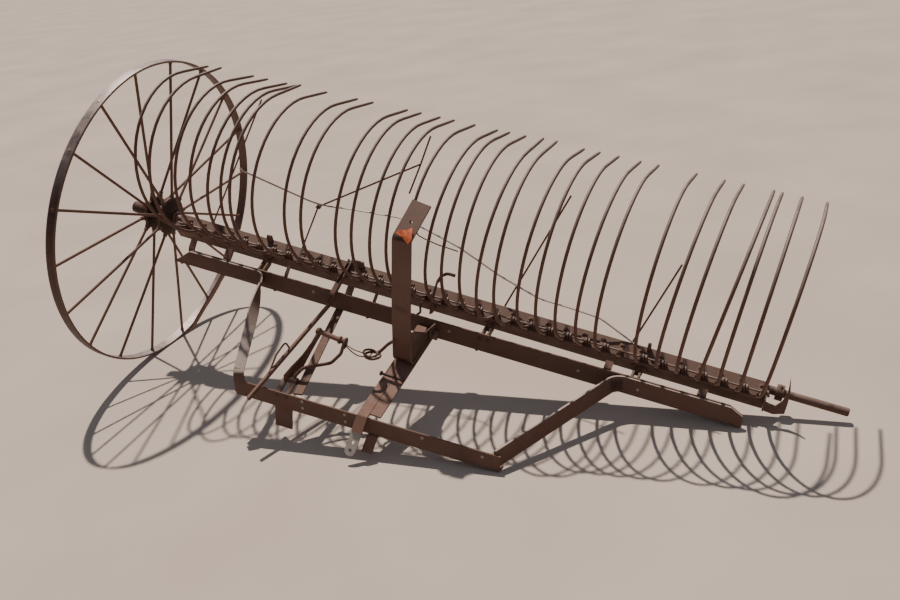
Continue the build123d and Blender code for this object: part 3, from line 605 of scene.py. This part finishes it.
def makeHolders():
    half = holder["strap"] / 2
    side = holder["side"]
    line = [onHead(side, up, out)
            for up, out in ((holder["reach"], half), (-half, half), (-half, -holder["hook"]))]
    section = (holder["width"], holder["strap"], (1, 0, 0))
    strap = softened(bentBar("strap", line, section, holder["bend"], flat=True), holder["soft"], 1)
    root = Vector((-1, *holder["sleeveAt"]))
    rise = math.radians(tooth["rootRise"])
    run = Vector((0, -math.cos(rise), math.sin(rise)))
    deselectAll()
    bpy.ops.mesh.primitive_cylinder_add(vertices=10, radius=holder["sleeve"][0] / 2000,
                                        depth=holder["sleeveLength"] / 1000)
    sleeve = named("sleeve")
    sleeve.matrix_world = Matrix.Translation(root / 1000) @ axes(run)
    applyPlace(sleeve)
    openMesh(sleeve)
    pick(sleeve, lambda face: face.normal.dot(run) > 0.9)
    shrink = holder["sleeve"][1] / holder["sleeve"][0]
    bpy.ops.transform.resize(value=(shrink, shrink, shrink))
    closeMesh()
    softened(sleeve, holder["soft"], 1)
    rivet = rivetHead()
    scale = holder["rivetScale"]
    rivet.matrix_world = (Matrix.Translation(onHead(side, holder["rivetUp"], holder["strap"]) / 1000)
                          @ axes(-downLeg) @ scaled((scale, scale, 1)))
    applyPlace(rivet)
    pattern = joined("holder", [strap, sleeve, rivet])
    row = [copied(pattern, Matrix.Translation(mm(x, 0, 0))) for slot, x in slotPlaces().items()
           if slot != holder["leverSlot"]]
    dropped(pattern)
    finished(joined("tooth_clamps", row), "holder_cast", "head", ["tooth_holders"])
    bars = [bentBar("rod", [onHead(x, *tooth["rod"]) for x in ends], (toothBar["diameter"], 8))
            for ends in toothBar["runs"]]
    finished(joined("tooth_bar", bars), "tooth_steel", "head", ["tooth_rod"], smooth=60)
    # The corner rod takes the tongue's paler finish: a painted highlight where light catches the head's edge
    inset = headCornerHighlight["inset"]
    corner = bentBar("corner", [onHead(x, inset, -inset) for x in headCornerHighlight["ends"]],
                     (headCornerHighlight["diameter"], 10))
    finished(joined("head_corner_highlight", [corner]), "tongue_bar", "head", smooth=60)
    print("tooth holders made:", len(row))


# Wheel: flat iron tread, eighteen staggered round spokes, cast hub with nine lugs outside and a cone inside
wheel = {"outer": 711.0, "inner": 701.0, "half": 22.0, "steps": 120, "spokes": 18, "turn": 12.5,
         "rivetScale": (0.9, 0.9, 0.28), "rivetSink": 0.9}
# Spoke: out from the lugs or the cone to the tread, with a thicker foot and a cap
spokeSize = {"diameter": 13.0, "lugSide": -30.0, "coneSide": 56.0, "start": 84.0, "bendAt": 400.0,
             "foot": (101.0, 20.0), "footTurn": 0.985, "cap": (12.0, 19.0), "capTurn": 0.02, "capTaper": 0.75}
# Hub outline, along the axle and out from it, from the wheel's outer end to the head's side
hubLine = ((-138, 16.2), (-138, 23), (-135, 26.5), (-100, 27), (-94, 31), (-70, 31), (-61, 34), (-58, 39.5),
           (-44, 41), (-39, 46), (-38, 72), (-36.5, 74), (-23.5, 74), (-22, 72), (-21, 46), (-12, 38),
           (6, 35), (30, 36), (43, 41), (49, 50), (50, 87), (51.5, 89.5), (60.5, 89.5), (63, 87), (74, 66),
           (84, 44), (84, 16.2))
lugSize = {"reach": (70.0, 90.0), "width": 27.0, "thickness": 16.0, "topShrink": (0.85, 0.78),
           "footSpread": 1.35, "soft": 3.0}


def about(angle):  # turn about the axle, degrees from the top
    return Matrix.Rotation(math.radians(angle), 4, "X")


def makeWheel():
    outer, inner, half = wheel["outer"], wheel["inner"], wheel["half"]
    outline = [(-half, outer - 2.5), (-half + 2, outer - 0.8), (-half + 9, outer - 0.1),
               (half - 9, outer - 0.1), (half - 2, outer - 0.8), (half, outer - 2.5), (half, inner + 1),
               (half - 1.5, inner), (-half + 1.5, inner), (-half, inner + 1), (-half, outer - 2.5)]
    pieces = [turned("tread", outline, wheel["steps"])]
    rivet = rivetHead()
    flatHead = Matrix.Translation(mm(0, 0, outer - wheel["rivetSink"])) @ scaled(wheel["rivetScale"])
    angles = [wheel["turn"] + 360 / wheel["spokes"] * number for number in range(wheel["spokes"])]
    pieces += [copied(rivet, about(angle) @ flatHead) for angle in angles]
    finished(joined("wheel_tread", pieces), "wheel_tyre", "wheel", ["wheel_rim"], wheelFrame, 30)
    dropped(rivet)
    finished(joined("wheel_spoke_rods", makeSpokes(angles)), "spoke_iron", "wheel", ["wheel_spokes"],
             wheelFrame, 50)
    hub = turned("casting", hubLine, 36)
    finished(joined("wheel_hub_casting", [hub, *makeLugs(angles[::2])]), "hub_cast", "wheel",
             ["wheel_hub", "wheel_ratchet"], wheelFrame, 35)
    print("wheel made")


def makeSpokes(angles):
    inner, start = wheel["inner"], spokeSize["start"]
    footEnd, footWide = spokeSize["foot"]
    capLength, capWide = spokeSize["cap"]
    spokes = []
    for number, angle in enumerate(angles):
        side = spokeSize["coneSide"] if number % 2 else spokeSize["lugSide"]
        line = [(side, 0, start), (side * 0.5, 0, spokeSize["bendAt"]), (0, 0, inner + 1)]
        spoke = bentBar("spoke", line, (spokeSize["diameter"], 8))
        foot = bentBar("foot", [(side, 0, start), (side * spokeSize["footTurn"], 0, footEnd)], (footWide, 8))
        capLine = [(side * spokeSize["capTurn"], 0, inner - capLength), (0, 0, inner + 0.5)]
        cap = bentBar("cap", capLine, (capWide, 8))
        openMesh(cap)
        pick(cap, lambda vert: vert.co.z < (inner - 8) / 1000, "VERT")
        bpy.ops.transform.resize(value=(spokeSize["capTaper"], spokeSize["capTaper"], 1))
        closeMesh()
        rod = joined("spoke", [spoke, foot, cap])
        rod.data.transform(about(angle))
        spokes.append(rod)
    return spokes


def makeLugs(angles):
    low, high = lugSize["reach"]
    size = (lugSize["thickness"] / 1000, lugSize["width"] / 1000, (high - low) / 1000)
    lugs = []
    for angle in angles:
        deselectAll()
        bpy.ops.mesh.primitive_cube_add(size=1)
        lug = named("lug")
        middle = mm(spokeSize["lugSide"], 0, (low + high) / 2)
        lug.matrix_world = Matrix.Translation(middle) @ scaled(size)
        applyPlace(lug)
        openMesh(lug)
        pick(lug, isTop)
        bpy.ops.transform.resize(value=(*lugSize["topShrink"], 1))
        pick(lug, lambda face: face.normal.z < -0.9)
        bpy.ops.transform.resize(value=(1, lugSize["footSpread"], 1))
        closeMesh()
        softened(lug, lugSize["soft"], 2)
        lug.data.transform(about(angle))
        lugs.append(lug)
    return lugs


# Axle: round bar, its arm for the wheel and the bare arm at the other end
axle = {"bar": (92, 2866, 34.0), "bareArm": (2864, 3097, 32.0), "wheelArm": (-150, 86, 32.0),
        "shoulder": (84.5, 98.5, 28.0), "washer": (-143.5, -138.5, 16.1, 26.0),
        "collar": (2837, 2865, 17.1, 31.0), "collarNut": (2851, 30.0, 20), "nutScale": 0.9}


def makeAxle():
    start, end, across = axle["bar"]
    bar = bentBar("bar", [(start, 0, 0), (end, 0, 0)], (across, 20))
    start, end, across = axle["bareArm"]
    arm = turned("bareArm", [(start, 0.01), (start, across / 2), (end - 5, across / 2),
                             (end - 1, across / 2 - 2), (end, across / 2 - 5), (end, 0.01)], 20)
    start, end, across = axle["wheelArm"]
    wheelArm = turned("wheelArm", [(start, 0.01), (start, across / 2 - 4), (start + 4, across / 2),
                                   (end, across / 2), (end, 0.01)], 20)
    start, end, out = axle["shoulder"]
    shoulder = turned("shoulder", [(start, 10), (start, out - 1), (start + 1.5, out), (end - 3, out),
                                   (end, out - 3), (end, 10)], 24)
    for piece in (wheelArm, shoulder):
        piece.data.transform(Matrix.Rotation(math.radians(stand["wheelLean"]), 4, "Z"))
    finished(joined("axle_bar", [bar, arm, wheelArm, shoulder]), "axle_steel", "head", ["axle"], smooth=35)
    start, end, bore, out = axle["washer"]
    washer = turned("washer", [(start, bore), (start, out - 0.8), (start + 0.8, out), (end - 0.8, out),
                               (end, out - 0.8), (end, bore), (start, bore)], 24)
    finished(washer, "pin_steel", "head", ["arm_washer"], wheelFrame, 35)
    start, end, bore, out = axle["collar"]
    collar = turned("collar", [(start, bore), (start, out - 2), (start + 2, out), (end - 2, out),
                               (end, out - 2), (end, bore), (start, bore)], 28)
    nut = squareNut()
    x, reach, turn = axle["collarNut"]
    nut.matrix_world = Matrix.Translation(mm(x, 0, reach)) @ scaled([axle["nutScale"]] * 3)
    applyPlace(nut)
    nut.data.transform(about(turn))
    finished(joined("axle_stop_collar", [collar, nut]), "axle_steel", "head", ["axle_collar"], smooth=35)
    print("axle made")


# Small things that the pieces below share


def swelled(piece, middle, reach, factors):  # grow or pinch one place of a piece
    openMesh(piece)
    pick(piece, lambda vert: (vert.co - mm(*middle)).length < reach / 1000, "VERT")
    bpy.ops.transform.resize(value=factors, center_override=mm(*middle))
    closeMesh()
    return piece


def traced(name, points):  # a flat or folded face drawn from corner to corner
    face = onePoint(name, points[0])
    for before, after in zip(points, points[1:]):
        bpy.ops.mesh.extrude_region_move(TRANSFORM_OT_translate={"value": mm(*after) - mm(*before)})
    bpy.ops.mesh.select_all(action="SELECT")
    bpy.ops.mesh.edge_face_add()
    return face


def plate(name, outline, x, thickness, soft=1.5):  # upright plate across the axle, outline in (y, z)
    board = traced(name, [(x, y, z) for y, z in outline])
    bpy.ops.mesh.extrude_region_move(TRANSFORM_OT_translate={"value": mm(thickness, 0, 0)})
    return softened(sealed(board), soft, 1)


def placed(piece, x, y, z, turn=None):
    piece.data.transform(Matrix.Translation(mm(x, y, z)) @ (turn or Matrix.Identity(4)))
    return piece


def turnedRod(name, outline, sides=12):  # a knob or rod from the axle's left to its right
    return turned(name, [(outline[0][0], 0.01), *outline, (outline[-1][0], 0.01)], sides)


crossbar = {"front": -618.0, "left": 878.0, "top": -312.0, "slope": 0.0546}
beam = {"front": -124.0, "top": -46.4, "right": 2750, "fall": 0.7}  # fall in degrees, towards the wheel


def onCrossbar(x, y, z):  # y behind its front face, z above its top edge
    return (x, crossbar["front"] + y, crossbar["top"] + (x - crossbar["left"]) * crossbar["slope"] + z)


def onBeam(x, down):  # on the beam's front face
    fallen = (beam["right"] - x) * math.tan(math.radians(beam["fall"]))
    return (x, beam["front"], beam["top"] - fallen - down)


# Foot trip: two feet on the crossbar, a drum between them, two arms and a rung
trip = {
    "place": 1096, "at": (1116, -400, -112.8), "tilt": 4.9,
    "leftArm": ((-404, -98), (-440, -148), (-482, -190), (-540, -228), (-570, -252), (-566, -290),
                (-520, -284), (-478, -242), (-448, -196), (-416, -150), (-388, -114)),
    "leftArmAt": 1250, "leftArmLean": 0.32, "leftArmThickness": 13, "leftArmSoft": 4,
    "rightArm": ((1112, -556, -266), (1107, -550, -251), (1129, -530, -217), (1156, -500, -213),
                 (1214, -460, -199), (1239, -430, -163), (1236, -404, -128)),
    "rightArmWire": 14, "rightArmBend": 26,
    "knob": ((-11, 7), (-8, 13), (-2, 16), (6, 15.5), (11, 12)),
    "collar": ((94, 12), (95, 16), (103, 16.5), (106, 11), (122, 11)),
    "rung": ((9, 10.5), (52, 11), (95, 10.5)),
    "ear": ((-5, 21), (-3.5, 24), (3.5, 24), (5, 21)), "earSquash": 0.66, "earAt": (1241, -404, -126),
    "earTurn": -25,
    "drum": ((-9, 6), (-7, 9), (-1, 9), (0, 12.5), (2, 14), (42, 14), (44, 12.5), (45, 9), (51, 9), (53, 6)),
    "drumAt": (-18, 66, 28),
    "feet": ((-28, 24), (15, 22)),  # place along the crossbar, width
    "foot": ((11, -34), (11, -6), (46, 15), (62, 30)), "footThickness": 8, "footBend": 5, "footPinch": 0.6}


def makeFootTrip():
    left = plate("leftArm", trip["leftArm"], -5, trip["leftArmThickness"], trip["leftArmSoft"])
    slope = Matrix(((1, trip["leftArmLean"], 0, 0), (0, 1, 0, 0), (0, 0, 1, 0), (0, 0, 0, 1)))
    left.data.transform(Matrix.Translation(mm(trip["leftArmAt"], 0, 0)) @ slope)  # the arm leans to its knob
    right = bentBar("rightArm", trip["rightArm"], (trip["rightArmWire"], 10), trip["rightArmBend"])
    tilt = Matrix.Rotation(math.radians(trip["tilt"]), 4, "Y")
    knob = turnedRod("knob", trip["knob"])
    collar = turnedRod("collar", trip["collar"])
    for piece in (knob, collar):
        placed(piece, *trip["at"], tilt)
    rung = placed(turnedRod("rung", trip["rung"], 16), *trip["at"], tilt)
    ear = turnedRod("ear", trip["ear"], 18)
    ear.data.transform(scaled((1, trip["earSquash"], 1)))
    placed(ear, *trip["earAt"], Matrix.Rotation(math.radians(trip["earTurn"]), 4, "X"))
    drum = turnedRod("drum", trip["drum"], 16)
    along, y, z = trip["drumAt"]
    slant = Matrix.Rotation(-math.atan(crossbar["slope"]), 4, "Y")
    placed(drum, *onCrossbar(trip["place"] + along, y, z), slant)
    feet = []
    for x, width in trip["feet"]:
        line = [onCrossbar(trip["place"] + x, *place) for place in trip["foot"]]
        section = (width, trip["footThickness"], (1, 0, 0))
        foot = softened(bentBar("foot", line, section, trip["footBend"], flat=True), 2, 1)
        feet.append(swelled(foot, line[-1], 8, (trip["footPinch"], 1, 1)))
    finished(joined("foot_trip_levers", [left, right, knob, collar, ear, drum, *feet]), "control_iron",
             "frame", ["foot_trip"], smooth=45)
    # The rung takes the tongue's paler finish: painted light on its lit top
    finished(joined("trip_rung", [rung]), "tongue_bar", "frame")
    print("foot trip made")


# Stripper rods on the head. Each run starts on the head at its first number, or else hangs from a rod.
strippers = {
    "diameter": 8, "bend": 30, "from": (79.5, -3.5),
    "runs": ((778, (847, 4, 239), (1180, 4, 452), (1303, 4, 530)),
             (None, (1270, 4, 400), (1303, 9, 522), (1338, 4, 655)),
             (1746, (1940, 4, 551)), (2282, (2399, 4, 392)), (300, (544, 4, 645))),
    "knotAt": (847, 4, 239), "knotRings": ((-2, -6, 0.0), (1, 0, 0.4), (4, 6, -0.3)), "knotLoop": (8, 6)}
bail = {"line": ((996.5, -560, -262), (998.2, -520, -204), (1002, -462, -170), (1004.6, -436, -208)),
        "diameter": 8, "bend": 20}
# Eye rod: two loops of wire and the shank that carries them
eyeRod = {"eye": ((1383, -440, -120), 30, 10), "under": ((1374, -442, -111), 27, 9), "underTurn": 7,
          "shank": ((1392, -414, -117), (1404, -410, -104), (1424, -402, -76), (1444, -392, -56)),
          "shankWire": 13, "shankBend": 14, "knuckle": (1.5, 1.5, 1.2)}
# Beam hook: plate outline in (y, z), a bent hoop on it and a link of thick wire below
beamHook = {
    "outline": ((-114, -46), (-90, -50), (-48.9, -34.4), (-59.7, -20), (-84, -8), (-92, 26), (-72, 76),
                (-60, 92), (-66, 100), (-82, 82), (-103, 28)),
    "x": 1464, "thickness": 8, "soft": 2,
    "hoop": ((1468, -70, 84), (1479, -62, 112), (1500, -52, 125), (1530, -38, 118)),
    "hoopWire": 14, "hoopBend": 22,
    "link": ((1420, -95, -11), (1414, -95, -34), (1418, -95, -59), (1395, -95, -83), (1388, -99, -74)),
    "linkWire": 10, "linkBend": 12}
# Long pale wire from tooth to tooth, and two short ones below the foot trip
tieWire = {"line": ((655, -300, 441), (668, -296, 430), (853, 4, 246), (1004, 0, 268), (1245, 0, 288),
                    (1367, 0, 266), (1521, 0, 227), (1708, 0, 154), (1888, 0, 103), (2015, 0, 101),
                    (2140, 0, 94), (2286, 0, 30)), "diameter": 8, "bend": 120}
tripWires = {"lines": (((1237, -400, -137), (1272, -400, -157), (1300, -404, -164), (1352, -412, -150),
                        (1374, -416, -117)),
                       ((1237, -400, -132), (1280, -396, -148), (1330, -404, -143), (1366, -420, -120))),
             "diameter": 5, "bend": 40}


def ring(middle, radius, wire, turn=None):
    deselectAll()
    bpy.ops.mesh.primitive_torus_add(major_radius=radius / 1000, minor_radius=wire / 2000, major_segments=20,
                                     minor_segments=8)
    loop = named("ring")
    openMesh(loop)
    pick(loop, lambda vert: vert.co.x > 0.6 * radius / 1000, "VERT")
    bpy.ops.transform.translate(value=(0.0012, 0, wire / 3000))  # not quite round, as bent wire is
    closeMesh()
    return placed(loop, *middle, turn)


def makeStrippers():
    top = tuple(onHead(0, *strippers["from"]))[1:]
    rods = []
    for first, *rest in strippers["runs"]:
        run = rest if first is None else [(first, *top), *rest]
        rods.append(bentBar("rod", run, (strippers["diameter"], 8), strippers["bend"]))
    x, y, z = strippers["knotAt"]
    knot = []
    for dx, dz, tilt in strippers["knotRings"]:
        turn = axes(Vector((0.3, 0.2, 1)).normalized(), Vector((1, tilt, 0)))
        knot.append(ring((x + dx, y, z + dz), *strippers["knotLoop"], turn))
    finished(joined("stripper_rods", [*rods, *knot]), "spoke_iron", "head", ["loose_rods"], smooth=60)


def makeRods():
    makeStrippers()
    wireBail = bentBar("lever_wire_bail", bail["line"], (bail["diameter"], 10), bail["bend"])
    finished(wireBail, "control_iron", "head", ["lever_bail"], smooth=60)
    eye = ring(*eyeRod["eye"])
    under = ring(*eyeRod["under"], Matrix.Rotation(math.radians(eyeRod["underTurn"]), 4, "Y"))
    shank = bentBar("shank", eyeRod["shank"], (eyeRod["shankWire"], 10), eyeRod["shankBend"])
    swelled(shank, eyeRod["shank"][0], 10, eyeRod["knuckle"])
    finished(joined("eye_rod_loops", [eye, under, shank]), "control_iron", "frame", ["eye_rod"], smooth=60)
    hook = plate("hook", beamHook["outline"], beamHook["x"], beamHook["thickness"], beamHook["soft"])
    hoop = bentBar("hoop", beamHook["hoop"], (beamHook["hoopWire"], 10), beamHook["hoopBend"])
    link = bentBar("link", beamHook["link"], (beamHook["linkWire"], 8), beamHook["linkBend"])
    finished(joined("beam_hook", [hook, hoop, link]), "bracket_iron", "head", ["arm_hook"], smooth=45)
    tie = bentBar("tie_wire", tieWire["line"], (tieWire["diameter"], 6), tieWire["bend"])
    finished(tie, "grey_strap", "head", smooth=60)
    wires = [bentBar("wire", line, (tripWires["diameter"], 6), tripWires["bend"])
             for line in tripWires["lines"]]
    finished(joined("trip_wires", wires), "control_iron", "frame", smooth=60)
    print("rods and wires made")


# Left side bar: on edge along the beam, then twisted flat and folded down over the crossbar's end
leftBar = {"height": 54.0, "thickness": 9.0, "bend": 660.0, "y": -128.5, "down": 30, "corner": 45,
           "slant": (202.0, 68.0), "foot": (884, -606, -266), "lapRun": 62.0, "steps": 16,
           "early": (5, 10.0), "late": 3.2, "taper": 0.984,  # first steps and their turn, then the rest's
           "fold": ((892, -622, -276), (905, -622.6, -354)), "foldOverlap": 12.0, "foldThickness": 8,
           "foldCorner": 14}


def makeLeftBar():
    height, thick = leftBar["height"], leftBar["thickness"]
    foot = mm(*leftBar["foot"])
    upright = Vector((0, 0, 1))
    turn = (leftBar["bend"], leftBar["y"], onBeam(leftBar["bend"], leftBar["down"])[2])
    run = (foot - mm(*turn)).normalized()
    near = mm(*turn) + run * leftBar["lapRun"] / 1000
    start, slant = leftBar["slant"]
    level = onBeam(start, leftBar["down"])[2]
    lap = bentBar("lap", [(start, leftBar["y"], level), turn, tuple(near * 1000)],
                  (height, thick, (0, 0, 1)), leftBar["corner"], flat=True)
    openMesh(lap)
    pick(lap, lambda vert: vert.co.x < (start + 5) / 1000 and vert.co.z > level / 1000, "VERT")
    bpy.ops.transform.translate(value=mm(slant, 0, 0))
    closeMesh()
    arm = twistedArm(height, thick, (foot - near).length)
    arm.data.transform(Matrix.Translation(near) @ axes(run, upright))
    across = (-run.cross(upright)).normalized()
    width = height * leftBar["taper"] ** leftBar["steps"]
    overlap = leftBar["foldOverlap"] / 1000
    fold = bentBar("fold", [tuple((foot - run * overlap) * 1000), *leftBar["fold"]],
                   (width, leftBar["foldThickness"], tuple(across)), leftBar["foldCorner"], flat=True)
    bar = softened(joined("side_bar_left", [lap, arm, fold]), 1.2, 1)
    finished(bar, "side_bar", "frame", ["member_left"])
    print("left side bar made")


def twistedArm(height, thick, length):  # flat bar drawn upwards, turned and thinned a little at each step
    deselectAll()
    bpy.ops.mesh.primitive_plane_add(size=1)
    arm = named("arm")
    arm.matrix_world = Matrix.Diagonal((height / 1000, thick / 1000, 1, 1))
    applyPlace(arm)
    openMesh(arm)
    bpy.ops.mesh.select_all(action="SELECT")
    bpy.ops.mesh.delete(type="ONLY_FACE")
    bpy.ops.mesh.select_mode(type="EDGE")
    bpy.ops.mesh.select_all(action="SELECT")
    steps, small = leftBar["steps"], leftBar["taper"]
    earlySteps, earlyTurn = leftBar["early"]
    for step in range(steps):
        bpy.ops.mesh.extrude_region_move(TRANSFORM_OT_translate={"value": (0, 0, length / steps)})
        at = Vector((0, 0, length * (step + 1) / steps))
        turnBy = earlyTurn if step < earlySteps else leftBar["late"]
        bpy.ops.transform.rotate(value=-math.radians(turnBy), orient_axis="Z", center_override=at)
        bpy.ops.transform.resize(value=(small, small, 1), center_override=at)
    return sealed(arm)


# Web beside the seat spring, its bolt and the small tab on it. Outline in (y, z).
seatWeb = {"x": 1500, "thickness": 8,
           "outline": ((-130, -70), (-130, -93), (-180, -108), (-231, -126), (-237, -119), (-335, -154),
                       (-366, -120), (-383, -60), (-388, -6), (-340, -20), (-226, -70)),
           "bolt": ((-9, 7), (-7, 10), (-1, 10), (0, 5), (84, 5), (85, 9), (92, 9), (93, 6)),
           "boltAt": (1422, -420, -196),
           "tab": ((1511, -196, -80), (1514, -190, -100), (1514, -186, -116)),
           "tabSection": (16, 6, (0, 1, 0.3)), "tabBend": 8}


def makeSeatWeb():
    web = plate("web", seatWeb["outline"], seatWeb["x"], seatWeb["thickness"])
    bolt = placed(turnedRod("bolt", seatWeb["bolt"]), *seatWeb["boltAt"])
    tab = bentBar("tab", seatWeb["tab"], seatWeb["tabSection"], seatWeb["tabBend"], flat=True)
    finished(joined("spring_web", [web, bolt, softened(tab, 1.5, 1)]), "frame_iron", "frame")
    print("seat spring's web made")


# Nuts, bolt ends and rivets: places along the beam or crossbar, with the drop from its middle or edge
fixings = {"beamRivets": ((1565, 0), (920, 0), (420, 12), (2120, 8), (2360, 10)), "beamMiddle": 30,
           "lappedFrom": 2275, "lapFront": -133,  # the right side bar lies over the beam here
           "crossbarRivets": ((1185, 12), (1189, 40), (1374, 14), (1380, 44), (1700, 16), (1940, 20)),
           "beamBolts": (201, 710, 1177, 1686), "bolt": ((0, 7), (14, 7), (17, 4)), "boltY": -100,
           "boltDown": 76, "hinges": (640, 1715, 2335), "hingeHalf": 17, "hingeDown": 26,
           "tripFeet": (-28, 15), "tripNutDown": -20,
           "rivet": (0.75, 0.75, 0.7), "hingeNut": (0.8, 0.8, 0.8), "tripNut": (0.7, 0.7, 0.8)}


def makeFixings():
    nut, rivet = squareNut(), rivetHead()
    toFront = Matrix.Rotation(math.radians(90), 4, "X")

    def front(pattern, place, size):
        return copied(pattern, Matrix.Translation(mm(*place)) @ toFront @ scaled(size))

    pale = []
    for x, down in fixings["beamRivets"]:
        y = fixings["lapFront"] if x > fixings["lappedFrom"] else beam["front"]
        pale.append(front(rivet, (x, y, onBeam(x, fixings["beamMiddle"] + down)[2]), fixings["rivet"]))
    for x, down in fixings["crossbarRivets"]:
        pale.append(front(rivet, onCrossbar(x, 0, -down), fixings["rivet"]))
    finished(joined("pale_rivets", pale), "grey_strap", "frame", smooth=60)
    dark = []
    for x in fixings["beamBolts"]:
        low = Matrix.Translation(mm(x, fixings["boltY"], onBeam(x, fixings["boltDown"])[2]))
        bolt = turnedRod("bolt", fixings["bolt"], 10)
        bolt.data.transform(low @ Matrix.Rotation(math.radians(90), 4, "Y"))
        dark += [bolt, copied(nut, low @ Matrix.Rotation(math.pi, 4, "X"))]
    for x in fixings["hinges"]:
        for side in (-fixings["hingeHalf"], fixings["hingeHalf"]):
            place = (x + side, beam["front"], onBeam(x, fixings["hingeDown"])[2])
            dark.append(front(nut, place, fixings["hingeNut"]))
    for along in fixings["tripFeet"]:
        place = onCrossbar(trip["place"] + along, 0, fixings["tripNutDown"])
        dark.append(front(nut, place, fixings["tripNut"]))
    finished(joined("frame_nuts", dark), "bracket_iron", "frame", smooth=40)
    dropped(nut)
    dropped(rivet)
    print("nuts and rivets made")


# Blank tag: soft moulded polythene, bleached by the sun in cloudy patches
tagLook = {"deep": "#B04A28", "face": "#DC6A3E", "pale": "#E88A5C", "cloud": 14, "grain": 1.5}
tagShape = {"corners": ((1428, -423, 392), (1435, -413, 402), (1463, -408, 408), (1479, -398, 418),
                        (1490, -416, 404), (1497, -432, 386), (1484, -432, 365), (1458, -430, 384)),
            "lift": (0, -1.5, 6.5), "thickness": 2.5, "soft": 0.8,
            "wire": ((1470, -404, 414), (1484, -392, 412), (1480, -350, 388), (1472, -330, 373),
                     (1503, -330, 365), (1559, -330, 356), (1600, -330, 354), (1640, -329, 351)),
            "wireThickness": 5, "wireBend": 14}


def tagPlastic():
    material, tree = emptyMaterial("orange_polythene")
    coords = addNode(tree, "ShaderNodeTexCoord")
    cloud = addNode(tree, "ShaderNodeTexNoise", {"Scale": perMetre(tagLook["cloud"]), "Detail": 3.0},
                    {"Vector": (coords, "Object")})
    tone = addNode(tree, "ShaderNodeValToRGB", None, {"Fac": (cloud, "Fac")})
    setRamp(tone, [(0.3, tagLook["deep"]), (0.5, tagLook["face"]), (0.72, tagLook["pale"])])
    grain = addNode(tree, "ShaderNodeTexNoise", {"Scale": perMetre(tagLook["grain"]), "Detail": 2.0},
                    {"Vector": (coords, "Object")})
    bump = addNode(tree, "ShaderNodeBump", {"Strength": 0.25, "Distance": 0.0004}, {"Height": (grain, "Fac")})
    shader = addNode(tree, "ShaderNodeBsdfPrincipled", {"Roughness": 0.5},
                     {"Base Color": (tone, "Color"), "Normal": (bump, "Normal")})
    addNode(tree, "ShaderNodeOutputMaterial", None, {"Surface": (shader, "BSDF")})
    return material


def makeTag():
    lift = Vector(tagShape["lift"])
    tag = traced("blank_tag", [tuple(Vector(corner) + lift) for corner in tagShape["corners"]])
    bpy.ops.mesh.quads_convert_to_tris()
    closeMesh()
    alone(tag)
    bpy.ops.object.modifier_add(type="SOLIDIFY")
    tag.modifiers[-1].thickness = tagShape["thickness"] / 1000
    tag.modifiers[-1].offset = 0
    bpy.ops.object.modifier_apply(modifier=tag.modifiers[-1].name)
    finished(softened(tag, tagShape["soft"], 1), "seat_spring", "frame")
    tag.data.materials.clear()
    tag.data.materials.append(tagPlastic())
    wire = bentBar("tag_wire", tagShape["wire"], (tagShape["wireThickness"], 6), tagShape["wireBend"])
    finished(wire, "control_iron", "frame", smooth=60)
    print("tag made")


makeCamera()
makeStage()
makeLights()
makeFinishes()
paintNodes()
print("camera, floor, lights and finishes made")
makeWheel()
makeAxle()
makeTeeth()
makeHolders()
makeFootTrip()
makeRods()
makeLeftBar()
makeSeatWeb()
makeFixings()
makeTag()
